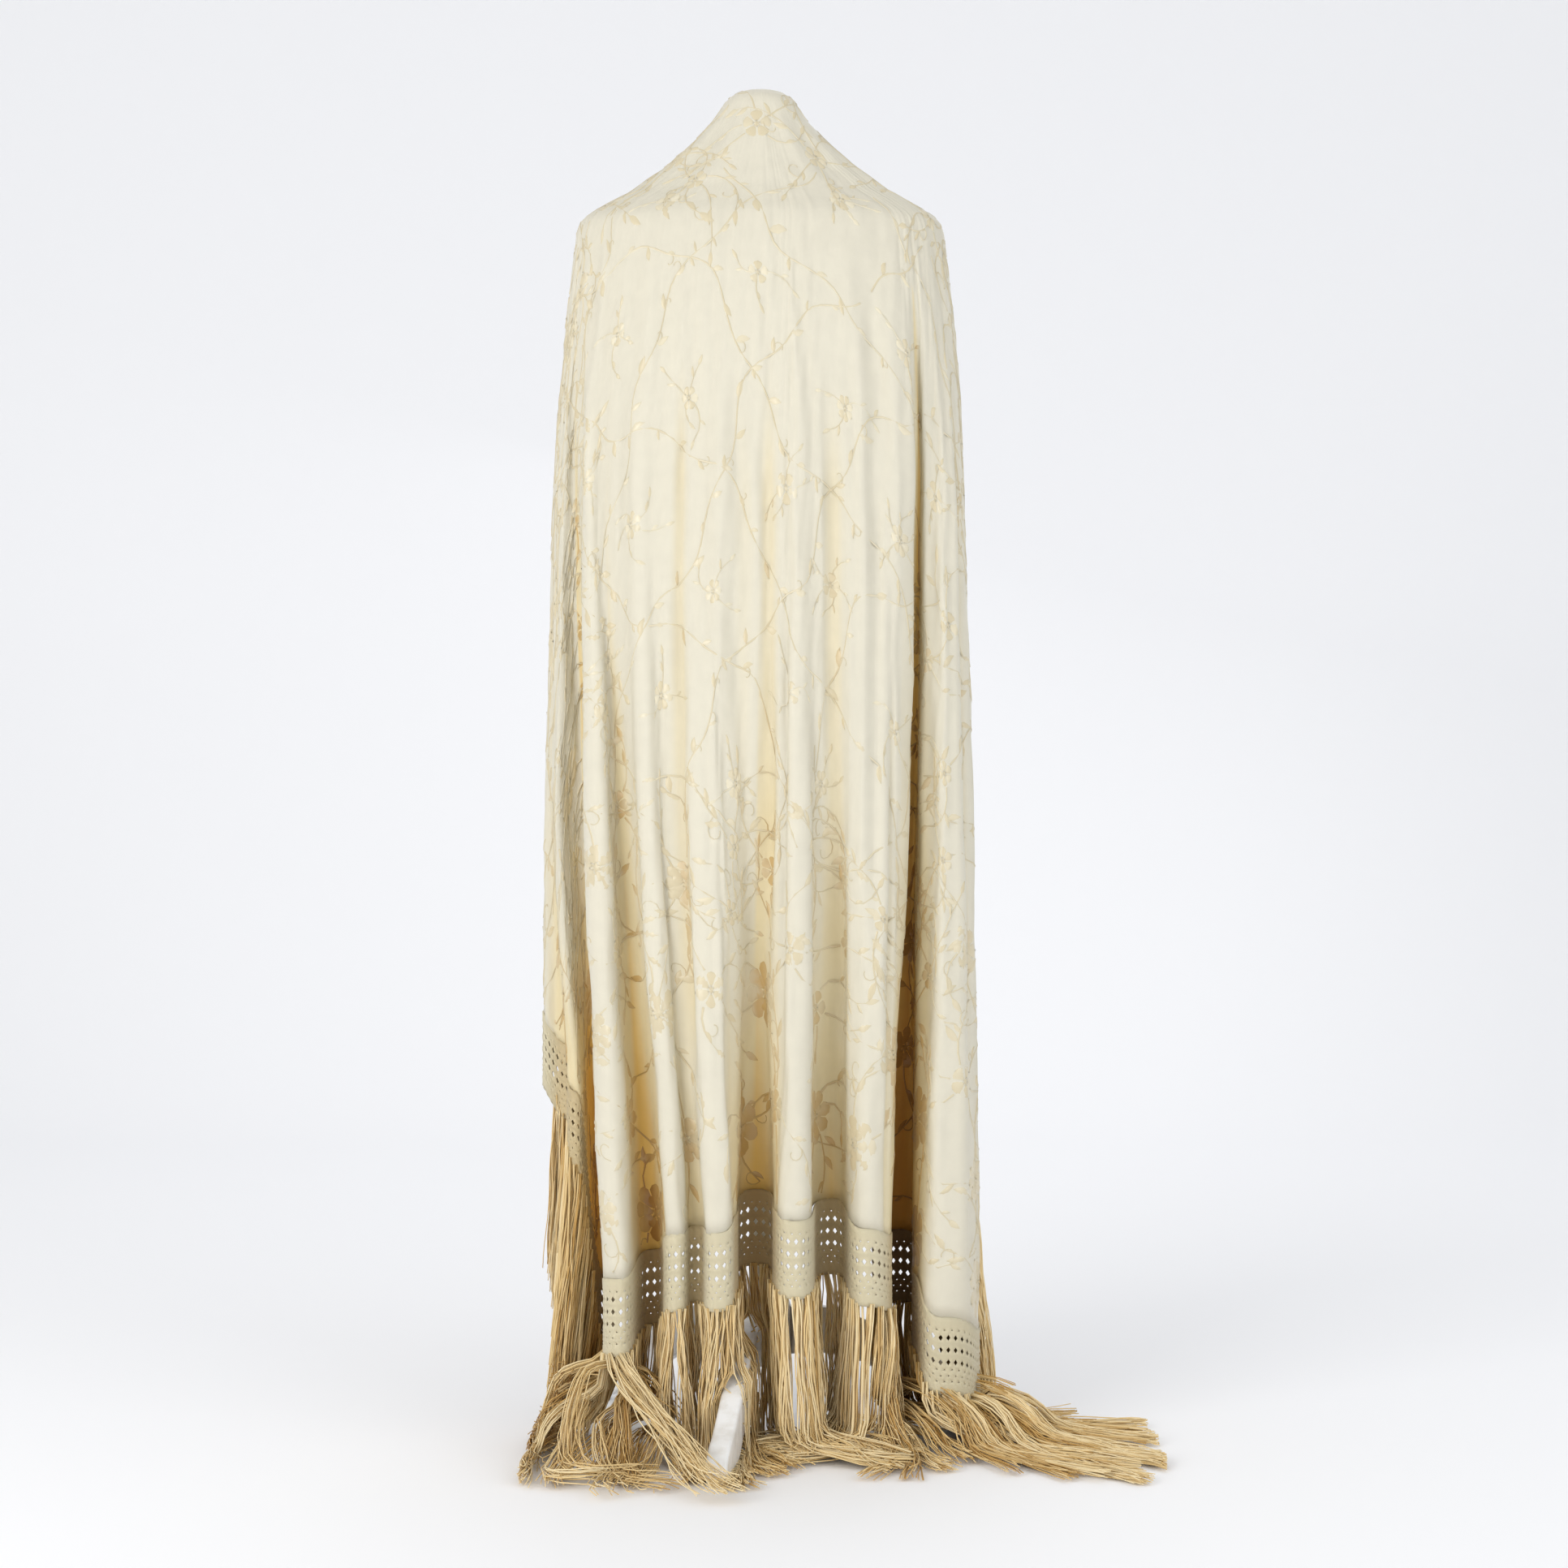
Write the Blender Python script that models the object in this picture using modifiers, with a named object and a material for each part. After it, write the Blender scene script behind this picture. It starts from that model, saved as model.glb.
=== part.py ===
"""A square silk piano shawl with a knotted net heading and a long fringe on all four sides, draped over
a limbless dress form that stands on a pole with three wooden legs.

The shawl hangs over the neck and shoulders with its back turned to -Y. Its bottom edge falls in deep
folds behind, its two side edges climb round the sides, and its top edge lies across the chest.
Metres, +Z up, the floor at z = 0.
"""

import math

import bmesh
import bpy
import numpy as np
from mathutils import Vector

# The pole stands here, so that the middle of the footprint is the origin.
POLE_X = -0.08669
POLE_Y = 0.09782

# Cloth, net and fringe
CLOTH_WALL = 0.0015
NET_WALL = 0.0018
STRIP_WALL = 0.0024
NET_DROP = 0.080
STRIP_DROP = 0.008
STRAND_DROP = 0.250
SEAM = 0.0004
CORNER_SEAM = 0.0005
FLANK_SEAM = 0.0002
STRIP_SEAM = 0.0012
SLANT_SHARE = 1.6
LOCK_ROOM = 0.0012
FLOOR_GAP = 0.0006

# Levels
TOP_Z = 1.4625
SEAM_Z = 1.270
OVAL_POWER = 2.2
FOLD_FULLNESS = 1.1
LEAST_LATERAL = 0.015
ROUND_COLUMNS = 48

# Dress form and stand
FORM_GAP = 0.0004
FORM_BASE_Z = 0.715
POLE_RADIUS = 0.0125
HUB_RADIUS = 0.033
HUB_LOW_Z = 0.070
HUB_HIGH_Z = 0.140
PIECE_GAP = 0.0003
LEG_THICKNESS = 0.023
LEG_COUNT = 3
FIRST_LEG_ANGLE = -98.5
LEG_REACH = 0.300
LEG_TIP = 9
PARTING = 0.021
PARTING_REACH = 0.063
PARTING_ABOVE = 0.045
PARTING_FALL = 0.020

# Smooth rings of the drape: height, half width, depth behind, depth in front, centre along Y
DRAPE_RINGS = [
    (1.4600, 0.0180, 0.0180, 0.0180, 0.012),
    (1.4555, 0.0310, 0.0300, 0.0300, 0.012),
    (1.4460, 0.0400, 0.0380, 0.0380, 0.012),
    (1.4170, 0.0615, 0.0470, 0.0460, 0.011),
    (1.3730, 0.1070, 0.0580, 0.0550, 0.008),
    (1.3460, 0.1440, 0.0660, 0.0620, 0.005),
    (1.3280, 0.1770, 0.0740, 0.0680, 0.003),
    (1.3150, 0.1950, 0.0800, 0.0730, 0.000),
    (1.3000, 0.2003, 0.0860, 0.0790, 0.000),
    (1.2700, 0.2040, 0.0960, 0.0890, 0.000),
    (1.2000, 0.2115, 0.1070, 0.1130, 0.000),
    (1.1150, 0.2180, 0.1130, 0.1370, 0.000),
    (1.0000, 0.2235, 0.1200, 0.1490, 0.000),
    (0.8500, 0.2265, 0.1300, 0.1530, 0.000),
    (0.6500, 0.2295, 0.1450, 0.1560, 0.000),
    (0.4000, 0.2330, 0.1620, 0.1560, 0.000),
    (0.2000, 0.2360, 0.1720, 0.1560, 0.000),
]

# Rings of the dress form: height, half width, depth behind, depth in front, centre along Y
FORM_RINGS = [
    (0.7150, 0.1280, 0.0780, 0.0800, 0.000),
    (0.7350, 0.1400, 0.0880, 0.0900, 0.000),
    (0.8000, 0.1480, 0.0940, 0.0960, 0.000),
    (0.8800, 0.1400, 0.0880, 0.0900, 0.000),
    (0.9600, 0.1250, 0.0780, 0.0890, 0.000),
    (1.0300, 0.1370, 0.0820, 0.1060, 0.000),
    (1.1000, 0.1570, 0.0900, 0.1230, 0.000),
    (1.1600, 0.1700, 0.0960, 0.1190, 0.000),
    (1.2200, 0.1850, 0.0970, 0.0980, 0.000),
    (1.2700, 0.1990, 0.0930, 0.0830, 0.000),
]

# The upper rings of the form follow the cloth that rests on them; between them the neck stands free.
NECK_RINGS = [
    (1.3280, 0.1560, 0.0690, 0.0620, 0.003),
    (1.3560, 0.0700, 0.0520, 0.0480, 0.008),
    (1.3850, 0.0530, 0.0460, 0.0440, 0.010),
    (1.4170, 0.0480, 0.0430, 0.0420, 0.011),
]

# Fold lines round the shawl, from the bottom corner on the left, across the back and round the front.
# angle: where the line leaves the shoulders, 0 behind and 90 on the right. x, y: its place at the edge
# of the cloth. facing: which way the fold looks there. edge: height of the cloth's edge. start: the
# height where the fold begins. ease: how slowly it deepens. columns: faces up to the next line.
FOLDS = [
    # name, angle, x, y, facing, edge, start, ease, columns
    ("bottom_left_corner", -66, -0.170, -0.010, -12, 0.165, 1.180, 0.90, 6),
    ("back_ridge_1", -54, -0.146, -0.156, -12, 0.186, 1.100, 1.10, 5),
    ("back_valley_1", -44, -0.115, -0.088, 0, 0.206, 0.980, 0.85, 4),
    ("back_ridge_2", -33, -0.084, -0.160, 0, 0.234, 0.960, 1.10, 3),
    ("back_valley_2", -23, -0.0665, -0.132, 0, 0.238, 0.700, 1.00, 3),
    ("back_ridge_3", -15, -0.044, -0.184, 2, 0.238, 0.900, 1.10, 3),
    ("back_edge_3", -7, -0.025, -0.146, 78, 0.252, 0.700, 1.10, 3),
    ("back_valley_3", 0, -0.004, -0.086, 0, 0.270, 0.900, 1.25, 3),
    ("back_edge_4", 5, 0.017, -0.140, -78, 0.256, 0.700, 1.10, 3),
    ("back_ridge_4", 9, 0.037, -0.168, 0, 0.248, 0.900, 1.10, 4),
    ("back_valley_4", 16, 0.0765, -0.070, 0, 0.258, 0.800, 1.00, 5),
    ("back_ridge_5", 30, 0.112, -0.142, 4, 0.236, 0.960, 1.10, 4),
    ("back_edge_5", 44, 0.138, -0.112, 82, 0.226, 1.230, 0.80, 3),
    ("back_valley_5", 50, 0.152, 0.016, 20, 0.212, 1.240, 0.62, 3),
    ("back_edge_6", 55, 0.167, -0.068, -76, 0.176, 1.230, 0.80, 3),
    ("back_ridge_6", 63, 0.194, -0.112, 14, 0.138, 1.200, 1.00, 4),
    ("bottom_right_corner", 76, 0.236, -0.040, 78, 0.114, 1.180, 1.10, 6),
    ("right_valley_1", 86, 0.190, 0.002, 88, 0.218, 1.160, 1.10, 5),
    ("right_ridge_1", 96, 0.234, 0.036, 96, 0.350, 1.150, 1.25, 4),
    ("right_valley_2", 106, 0.186, 0.070, 108, 0.450, 1.150, 1.10, 4),
    ("right_ridge_2", 116, 0.222, 0.104, 118, 0.540, 1.150, 1.25, 4),
    ("right_valley_3", 125, 0.164, 0.112, 130, 0.620, 1.150, 1.10, 4),
    ("top_right_corner", 134, 0.176, 0.166, 142, 0.700, 1.180, 1.10, 4),
    ("front_right_valley", 143, 0.126, 0.132, 154, 0.860, 1.200, 1.10, 3),
    ("chest_right_ridge", 152, 0.106, 0.168, 166, 1.030, 1.240, 1.10, 4),
    ("chest_right_valley", 165, 0.060, 0.136, 174, 1.130, 1.250, 1.10, 4),
    ("chest", 180, 0.000, 0.134, 180, 1.190, 1.250, 1.00, 4),
    ("chest_left_valley", 196, -0.064, 0.138, 188, 1.120, 1.250, 1.10, 4),
    ("chest_left_ridge", 210, -0.112, 0.170, 196, 1.010, 1.240, 1.10, 4),
    ("front_left_valley", 221, -0.128, 0.130, 210, 0.860, 1.200, 1.10, 4),
    ("top_left_corner", 232, -0.178, 0.160, 224, 0.700, 1.180, 1.10, 4),
    ("left_valley_3", 242, -0.164, 0.104, 238, 0.640, 1.160, 1.10, 4),
    ("left_ridge_3", 252, -0.222, 0.082, 252, 0.570, 1.160, 1.25, 4),
    ("left_valley_2", 262, -0.190, 0.045, 262, 0.510, 1.160, 1.10, 4),
    ("left_ridge_2", 273, -0.237, 0.006, 276, 0.452, 1.150, 1.10, 3),
    ("left_valley_1", 281, -0.211, -0.016, 308, 0.418, 0.700, 1.00, 4),
    ("left_ridge_1", 288, -0.197, -0.052, 338, 0.370, 0.650, 1.00, 5),
    ("left_end", 294, -0.170, -0.010, 348, 0.165, 1.180, 0.90, 1),
]
NAME, ANGLE, PLACE_X, PLACE_Y, FACING, EDGE, START, EASE, COLUMNS = range(9)

# The four sides of the square, each from one fold line to another
SIDES = [
    ("back", "bottom_left_corner", "bottom_right_corner"),
    ("right", "bottom_right_corner", "top_right_corner"),
    ("front", "top_right_corner", "top_left_corner"),
    ("left", "top_left_corner", "left_end"),
]

# The hanging cloth's stretches, each from one fold line to another; the back's meet on flat flanks
CLOTH_STRETCHES = [
    # name, first line, last line, rows of faces down it
    ("shawl_back_left", "bottom_left_corner", "back_edge_3", 10),
    ("shawl_back_middle", "back_edge_3", "back_edge_5", 10),
    ("shawl_back_right", "back_edge_5", "bottom_right_corner", 10),
    ("shawl_right", "bottom_right_corner", "top_right_corner", 7),
    ("shawl_front", "top_right_corner", "top_left_corner", 5),
    ("shawl_left", "top_left_corner", "left_end", 7),
]
NET_ROWS = 1

# Where locks of fringe lie on the floor: how far the middle and the end of a lock move sideways from
# its root. Lines that aren't here hang straight.
SWEEPS = {
    # name: (middle x, middle y, end x, end y)
    "back_ridge_1": (-0.030, -0.030, -0.080, -0.070),
    "back_valley_1": (0.000, -0.010, -0.010, -0.040),
    "back_ridge_2": (0.000, -0.010, -0.006, -0.040),
    "back_ridge_3": (0.000, -0.020, 0.000, -0.050),
    "back_ridge_4": (0.004, -0.020, 0.010, -0.045),
    "back_ridge_5": (-0.004, -0.016, -0.010, -0.045),
    "back_ridge_6": (0.060, -0.060, 0.160, -0.150),
    "bottom_right_corner": (0.090, -0.050, 0.175, -0.120),
    "right_valley_1": (0.060, -0.010, 0.130, -0.030),
}
STILL = (0.0, 0.0, 0.0, 0.0)
LOCK_PITCH = 0.018
LOCK_SHARE = 0.72
STEEP_SHARE = 0.30
LOCK_STEPS = (0.12, 0.40, 0.70, 1.00)
LOCK_END_SIZE = 0.55
LOCK_SAMPLE = 0.006

# One loose lock lies across the floor in front of the first leg.
LOOSE_LOCK = 9
LOOSE_LOCK_END = (-0.020, -0.380)


# Side view of a leg: distance from the pole, height
LEG_OUTLINE = [
    (0.0333, 0.130),
    (0.075, 0.127),
    (0.115, 0.113),
    (0.160, 0.090),
    (0.205, 0.064),
    (0.240, 0.045),
    (0.268, 0.034),
    (0.283, 0.021),
    (0.284, 0.009),
    (0.276, 0.000),
    (0.240, 0.000),
    (0.212, 0.008),
    (0.175, 0.030),
    (0.135, 0.054),
    (0.100, 0.070),
    (0.065, 0.077),
    (0.0333, 0.078),
]


def mix(a, b, share):
    """A value between a and b."""
    return a + (b - a) * share


def clamp(value):
    """A share held between 0 and 1."""
    return max(0.0, min(1.0, value))


def ring_sizes(rings, z):
    """Half width, depth behind, depth in front and centre at a height, between the rows of a table."""
    rows = sorted(rings)
    if z <= rows[0][0]:
        return rows[0][1:]
    for low, high in zip(rows, rows[1:]):
        if z <= high[0]:
            share = (z - low[0]) / (high[0] - low[0])
            return tuple(mix(a, b, share) for a, b in zip(low[1:], high[1:]))
    return rows[-1][1:]


def oval_point(sizes, angle):
    """A point of a rounded oval. Angle 0 is behind (-Y), 90 on the right (+X)."""
    half_width, behind, in_front, centre = sizes
    turn = math.radians(angle)
    across = math.copysign(abs(math.sin(turn)) ** (2 / OVAL_POWER), math.sin(turn))
    along = math.copysign(abs(math.cos(turn)) ** (2 / OVAL_POWER), math.cos(turn))
    depth = behind if along > 0 else in_front
    return Vector((half_width * across, centre - depth * along))


def fold_at(fold, z):
    """A fold line's place and facing at a height."""
    share = clamp((fold[START] - z) / (fold[START] - fold[EDGE])) ** fold[EASE]
    smooth = oval_point(ring_sizes(DRAPE_RINGS, z), fold[ANGLE])
    hung = Vector((fold[PLACE_X], fold[PLACE_Y]))
    return smooth.lerp(hung, share), mix(fold[ANGLE], fold[FACING], share)


def drape_point(column, z):
    """The cloth's middle surface at a column (fold line number and share to the next) and a height."""
    index = min(int(column), len(FOLDS) - 2)
    s = column - index
    start, facing_start = fold_at(FOLDS[index], z)
    end, facing_end = fold_at(FOLDS[index + 1], z)
    half_turn = math.radians((facing_start + facing_end) / 2)
    chord = end - start
    lateral = abs(chord.x * math.cos(half_turn) + chord.y * math.sin(half_turn))
    deep = abs(chord.x * math.sin(half_turn) - chord.y * math.cos(half_turn))
    lateral = max(lateral, LEAST_LATERAL)
    pull = lateral * (1 + 2 * FOLD_FULLNESS * deep / (deep + lateral))
    leave = Vector((math.cos(math.radians(facing_start)), math.sin(math.radians(facing_start))))
    arrive = Vector((math.cos(math.radians(facing_end)), math.sin(math.radians(facing_end))))
    near = 2 * s**3 - 3 * s**2 + 1
    plan = start * near + end * (1 - near)
    plan += leave * pull * (s**3 - 2 * s**2 + s) + arrive * pull * (s**3 - s**2)
    return Vector((plan.x, plan.y, z))


def edge_height(column):
    """The height of the cloth's edge at a column."""
    index = min(int(column), len(FOLDS) - 2)
    s = column - index
    return mix(FOLDS[index][EDGE], FOLDS[index + 1][EDGE], 3 * s**2 - 2 * s**3)


def seam_at(column, gap):
    """Half a seam's height where it crosses the cloth's edge at a slant."""
    low = max(column - 0.1, 0.0)
    high = min(column + 0.1, len(FOLDS) - 1.0)
    rise = edge_height(high) - edge_height(low)
    run = (drape_point(high, edge_height(high)) - drape_point(low, edge_height(low))).xy.length
    slope = rise / max(run, gap)
    return gap * (1.0 + SLANT_SHARE * slope**2)


def line_number(name):
    """A fold line's place in the table."""
    return [fold[NAME] for fold in FOLDS].index(name)


def side_columns(first, last, per_line=None):
    """Columns from one fold line to another, as fold line number plus share."""
    columns = []
    for index in range(line_number(first), line_number(last)):
        count = per_line or FOLDS[index][COLUMNS]
        columns += [index + step / count for step in range(count)]
    return columns + [float(line_number(last))]


def nudge(columns, gap):
    """The same columns with both ends moved in by half a seam."""
    moved = list(columns)
    for end, inner in ((0, 1), (-1, -2)):
        z = edge_height(columns[end])
        width = (drape_point(columns[end], z) - drape_point(columns[inner], z)).length
        top = (drape_point(columns[end], SEAM_Z) - drape_point(columns[inner], SEAM_Z)).length
        moved[end] = mix(columns[end], columns[inner], gap / min(width, top))
    return moved


def material(name, colour, roughness, metallic=0.0):
    """A plain Principled material."""
    made = bpy.data.materials.new(name)
    made.use_nodes = True
    shader = made.node_tree.nodes["Principled BSDF"]
    shader.inputs["Base Color"].default_value = (*colour, 1.0)
    shader.inputs["Roughness"].default_value = roughness
    shader.inputs["Metallic"].default_value = metallic
    return made


def place(name, mesh_or_curve, finish):
    """A named object under the pole's empty."""
    made = bpy.data.objects.new(name, mesh_or_curve)
    parts.objects.link(made)
    made.parent = ground
    made.data.materials.append(finish)
    return made


def surface_mesh(name, rows, closed=False):
    """An open surface through rows of points that run the same way."""
    bm = bmesh.new()
    grid = [[bm.verts.new(point) for point in row] for row in rows]
    for upper, lower in zip(grid, grid[1:]):
        count = len(upper)
        for i in range(count if closed else count - 1):
            j = (i + 1) % count
            bm.faces.new((upper[i], lower[i], lower[j], upper[j]))
    mesh = bpy.data.meshes.new(name)
    bm.to_mesh(mesh)
    bm.free()
    mesh.shade_smooth()
    return mesh


def wall(name, mesh, thickness, finish):
    """Gives an open surface its thickness, half to each side."""
    made = place(name, mesh, finish)
    solid = made.modifiers.new("thickness", "SOLIDIFY")
    solid.thickness = thickness
    solid.offset = 0.0
    return made


def cloth_stretch(name, first, last, row_count, finish):
    """The cloth below the shoulders between two fold lines, from the seam down to its own edge."""
    corners = [side[2] for side in SIDES] + [SIDES[0][1]]
    plain = side_columns(first, last)
    columns = nudge(plain, CORNER_SEAM)
    rows = []
    for row in range(row_count + 1):
        share = row / row_count
        for end, inner, line in ((0, 1, first), (-1, -2, last)):
            if line not in corners:
                z = mix(SEAM_Z, edge_height(plain[end]), share)
                width = (drape_point(plain[end], z) - drape_point(plain[inner], z)).length
                columns[end] = mix(plain[end], plain[inner], FLANK_SEAM / width)
        rows.append([
            drape_point(c, mix(SEAM_Z - SEAM, edge_height(c) + seam_at(c, SEAM), share))
            for c in columns
        ])
    return wall(name, surface_mesh(name, rows), CLOTH_WALL, finish)


def cloth_shoulders(finish):
    """The cloth over the neck and shoulders, closed all round, with a pole at the top of the neck."""
    angles = [360 * i / ROUND_COLUMNS for i in range(ROUND_COLUMNS)]
    rows = []
    for ring in DRAPE_RINGS:
        z = max(ring[0], SEAM_Z + SEAM)
        rows.append([oval_point(ring[1:], a).to_3d() + Vector((0, 0, z)) for a in angles])
        if ring[0] <= SEAM_Z:
            break
    mesh = surface_mesh("shawl_shoulders", rows, closed=True)
    bm = bmesh.new()
    bm.from_mesh(mesh)
    bm.verts.ensure_lookup_table()
    first = [bm.verts[i] for i in range(len(angles))]
    top = bm.verts.new((0.0, DRAPE_RINGS[0][4], TOP_Z))
    for i, vert in enumerate(first):
        bm.faces.new((top, vert, first[(i + 1) % len(first)]))
    bmesh.ops.recalc_face_normals(bm, faces=bm.faces)
    bm.to_mesh(mesh)
    bm.free()
    mesh.shade_smooth()
    return wall("shawl_shoulders", mesh, CLOTH_WALL, finish)


def net_heading(side, first, last, finish):
    """The knotted net that hangs from an edge of the cloth."""
    columns = nudge(side_columns(first, last), CORNER_SEAM)
    rows = []
    for row in range(NET_ROWS + 1):
        share = row / NET_ROWS
        rows.append([
            drape_point(c, edge_height(c) - mix(seam_at(c, SEAM), NET_DROP, share)) for c in columns
        ])
    return wall(f"net_{side}", surface_mesh(f"net_{side}", rows), NET_WALL, finish)


def even_columns(first, last):
    """Columns spaced evenly along an edge: the two sides of each lock."""
    fine = side_columns(first, last, per_line=40)
    points = [drape_point(c, edge_height(c) - NET_DROP) for c in fine]
    run = [0.0]
    for a, b in zip(points, points[1:]):
        run.append(run[-1] + (b - a).xy.length + STEEP_SHARE * abs(b.z - a.z))
    locks = max(3, round(run[-1] / LOCK_PITCH))
    columns = []
    for k in range(locks):
        for at in (k + 0.5 - LOCK_SHARE / 2, k + 0.5 + LOCK_SHARE / 2):
            target = run[-1] * at / locks
            i = next(n for n, r in enumerate(run) if r >= target)
            share = (target - run[i - 1]) / (run[i] - run[i - 1])
            columns.append(mix(fine[i - 1], fine[i], share))
    return columns


def below_net(column, net_columns):
    """A point right under the net's lower edge, on the straight line between two of its corners."""
    index = next(i for i, c in enumerate(net_columns) if c >= column)
    low, high = net_columns[index - 1], net_columns[index]
    corners = [drape_point(c, edge_height(c) - NET_DROP) for c in (low, high)]
    point = corners[0].lerp(corners[1], (column - low) / (high - low))
    return point - Vector((0, 0, seam_at(column, STRIP_SEAM)))


def sweep_at(column):
    """How far the middle and the end of a lock lie sideways from its root."""
    index = min(int(column), len(FOLDS) - 2)
    s = column - index
    here = SWEEPS.get(FOLDS[index][NAME], STILL)
    there = SWEEPS.get(FOLDS[index + 1][NAME], STILL)
    return [mix(a, b, 3 * s**2 - 2 * s**3) for a, b in zip(here, there)]


def leg_height(out):
    """The height of a leg's upper side at a distance from the pole."""
    upper = LEG_OUTLINE[:LEG_TIP]
    for near, far in zip(upper, upper[1:]):
        if near[0] <= out <= far[0]:
            return mix(near[1], far[1], (out - near[0]) / (far[0] - near[0]))
    return upper[0][1] if out < upper[0][0] else 0.0


def beside_first_leg(point):
    """A point of the fringe parted to either side of the leg that comes through it."""
    turn = math.radians(FIRST_LEG_ANGLE)
    out = Vector((math.cos(turn), math.sin(turn), 0.0))
    across = Vector((-out.y, out.x, 0.0))
    side = point.dot(across)
    if not 0 < point.dot(out) < LEG_REACH or abs(side) > PARTING_REACH:
        return point
    share = clamp((leg_height(point.dot(out)) + PARTING_ABOVE - point.z) / PARTING_FALL)
    parted = PARTING + abs(side) * (1 - PARTING / PARTING_REACH)
    return point + across * (math.copysign(parted, side) - side) * share


def lock_path(root, sweep):
    """A lock's centre line: down from its root, and along the floor where it reaches it."""
    lowest = FLOOR_GAP + STRIP_WALL / 2
    middle_x, middle_y, end_x, end_y = sweep
    reach = math.hypot(end_x, end_y)
    length = STRAND_DROP - STRIP_DROP
    end_z = max(lowest, root.z - math.sqrt(max(length**2 - reach**2, 0.0)))
    middle = root + Vector((middle_x, middle_y, 0))
    middle.z = max(lowest, mix(root.z, end_z, 0.75 if reach else 0.5))
    end = Vector((root.x + end_x, root.y + end_y, end_z))
    path = []
    bends = sweep != STILL or beside_first_leg(root) != root
    for t in LOCK_STEPS if bends else LOCK_STEPS[-1:]:
        point = root * (1 - t) ** 2 + middle * 2 * t * (1 - t) + end * t**2
        along = (middle - root) * (1 - t) + (end - middle) * t
        path.append((beside_first_leg(point), along.normalized(), mix(1.0, LOCK_END_SIZE, t)))
    return path


def find_room(root, path, width, others):
    """Keeps a lock's place if it is clear of the legs, the net and every lock before it."""
    samples = []
    before, size_before = root, 1.0
    for point, along, size in path:
        steps = max(2, math.ceil((point - before).length / LOCK_SAMPLE))
        for step in range(1, steps + 1):
            share = step / steps
            samples.append((*before.lerp(point, share), width * mix(size_before, size, share)))
        before, size_before = point, size
    for x, y, z, half in samples:
        for number in range(LEG_COUNT):
            turn = math.radians(FIRST_LEG_ANGLE + number * 360 / LEG_COUNT)
            out = x * math.cos(turn) + y * math.sin(turn)
            side = abs(y * math.cos(turn) - x * math.sin(turn))
            beside = side > LEG_THICKNESS / 2 + half + LOCK_ROOM
            over = -half < out < LEG_OUTLINE[LEG_TIP - 1][0] + half
            if over and not beside and z < leg_height(out) + half:
                return False
    here = np.array(samples)
    there = np.concatenate([others, *taken])
    apart = np.linalg.norm(here[:, None, :3] - there[None, :, :3], axis=2)
    if (apart < here[:, None, 3] + there[None, :, 3] + LOCK_ROOM).any():
        return False
    taken.append(here)
    return True


def fringe(side, first, last, finish):
    """A narrow strip parted from the net, with locks of fringe drawn down from its lower edge."""
    columns = even_columns(first, last)
    net_columns = side_columns(first, last)
    bm = bmesh.new()
    sections = []
    for i, c in enumerate(columns):
        top = below_net(c, net_columns)
        before = below_net(columns[max(i - 1, 0)], net_columns)
        after = below_net(columns[min(i + 1, len(columns) - 1)], net_columns)
        run = (after - before).to_2d().normalized()
        out = Vector((run.y, -run.x, 0.0)) * STRIP_WALL / 2
        low = top - Vector((0, 0, STRIP_DROP))
        sections.append([bm.verts.new(p) for p in (top + out, low + out, low - out, top - out)])
    lock_faces = []
    for i, (a, b) in enumerate(zip(sections, sections[1:])):
        for k in range(4):
            n = (k + 1) % 4
            face = bm.faces.new((a[k], a[n], b[n], b[k]))
            if k == 1 and i % 2 == 0:
                lock_faces.append((face, i))
    bm.faces.new(reversed(sections[0]))
    bm.faces.new(sections[-1])
    hung = []
    for corners in sections:
        low = (corners[1].co + corners[2].co) / 2
        rises = np.arange(0.0, NET_DROP, LOCK_SAMPLE)
        hung.append([(low.x, low.y, low.z + rise, STRIP_WALL / 2) for rise in rises])
    if side == "back":
        lock_faces.insert(0, lock_faces.pop(LOOSE_LOCK))
    for number, (face, i) in enumerate(lock_faces):
        root = face.calc_center_median()
        offsets = [(vert.co - root) * Vector((1.0, 1.0, 0.0)) for vert in face.verts]
        slant = hung[i + 1][0][2] - hung[i][0][2]
        steep = abs(slant) > math.dist(hung[i + 1][0][:2], hung[i][0][:2])
        sweep = STILL if steep else sweep_at((columns[i] + columns[i + 1]) / 2)
        others = np.concatenate(hung[:i] + hung[i + 2:])
        if side == "back" and number == 0:
            away = (LOOSE_LOCK_END[0] - root.x, LOOSE_LOCK_END[1] - root.y)
            sweep = (away[0] / 2, away[1] / 2, *away)
        width = max(offset.length for offset in offsets)
        path = lock_path(root, sweep)
        if not find_room(root, path, width, others):
            path = lock_path(root, STILL)
            if not find_room(root, path, width, others):
                continue
        for point, along, size in path:
            face = bmesh.ops.extrude_discrete_faces(bm, faces=[face])["faces"][0]
            turn = Vector((0, 0, -1)).rotation_difference(along)
            for vert, offset in zip(face.verts, offsets):
                vert.co = point + turn @ (offset * size)
                vert.co.z = max(vert.co.z, FLOOR_GAP)
    mesh = bpy.data.meshes.new(f"fringe_{side}")
    bm.to_mesh(mesh)
    bm.free()
    return place(f"fringe_{side}", mesh, finish)


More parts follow.
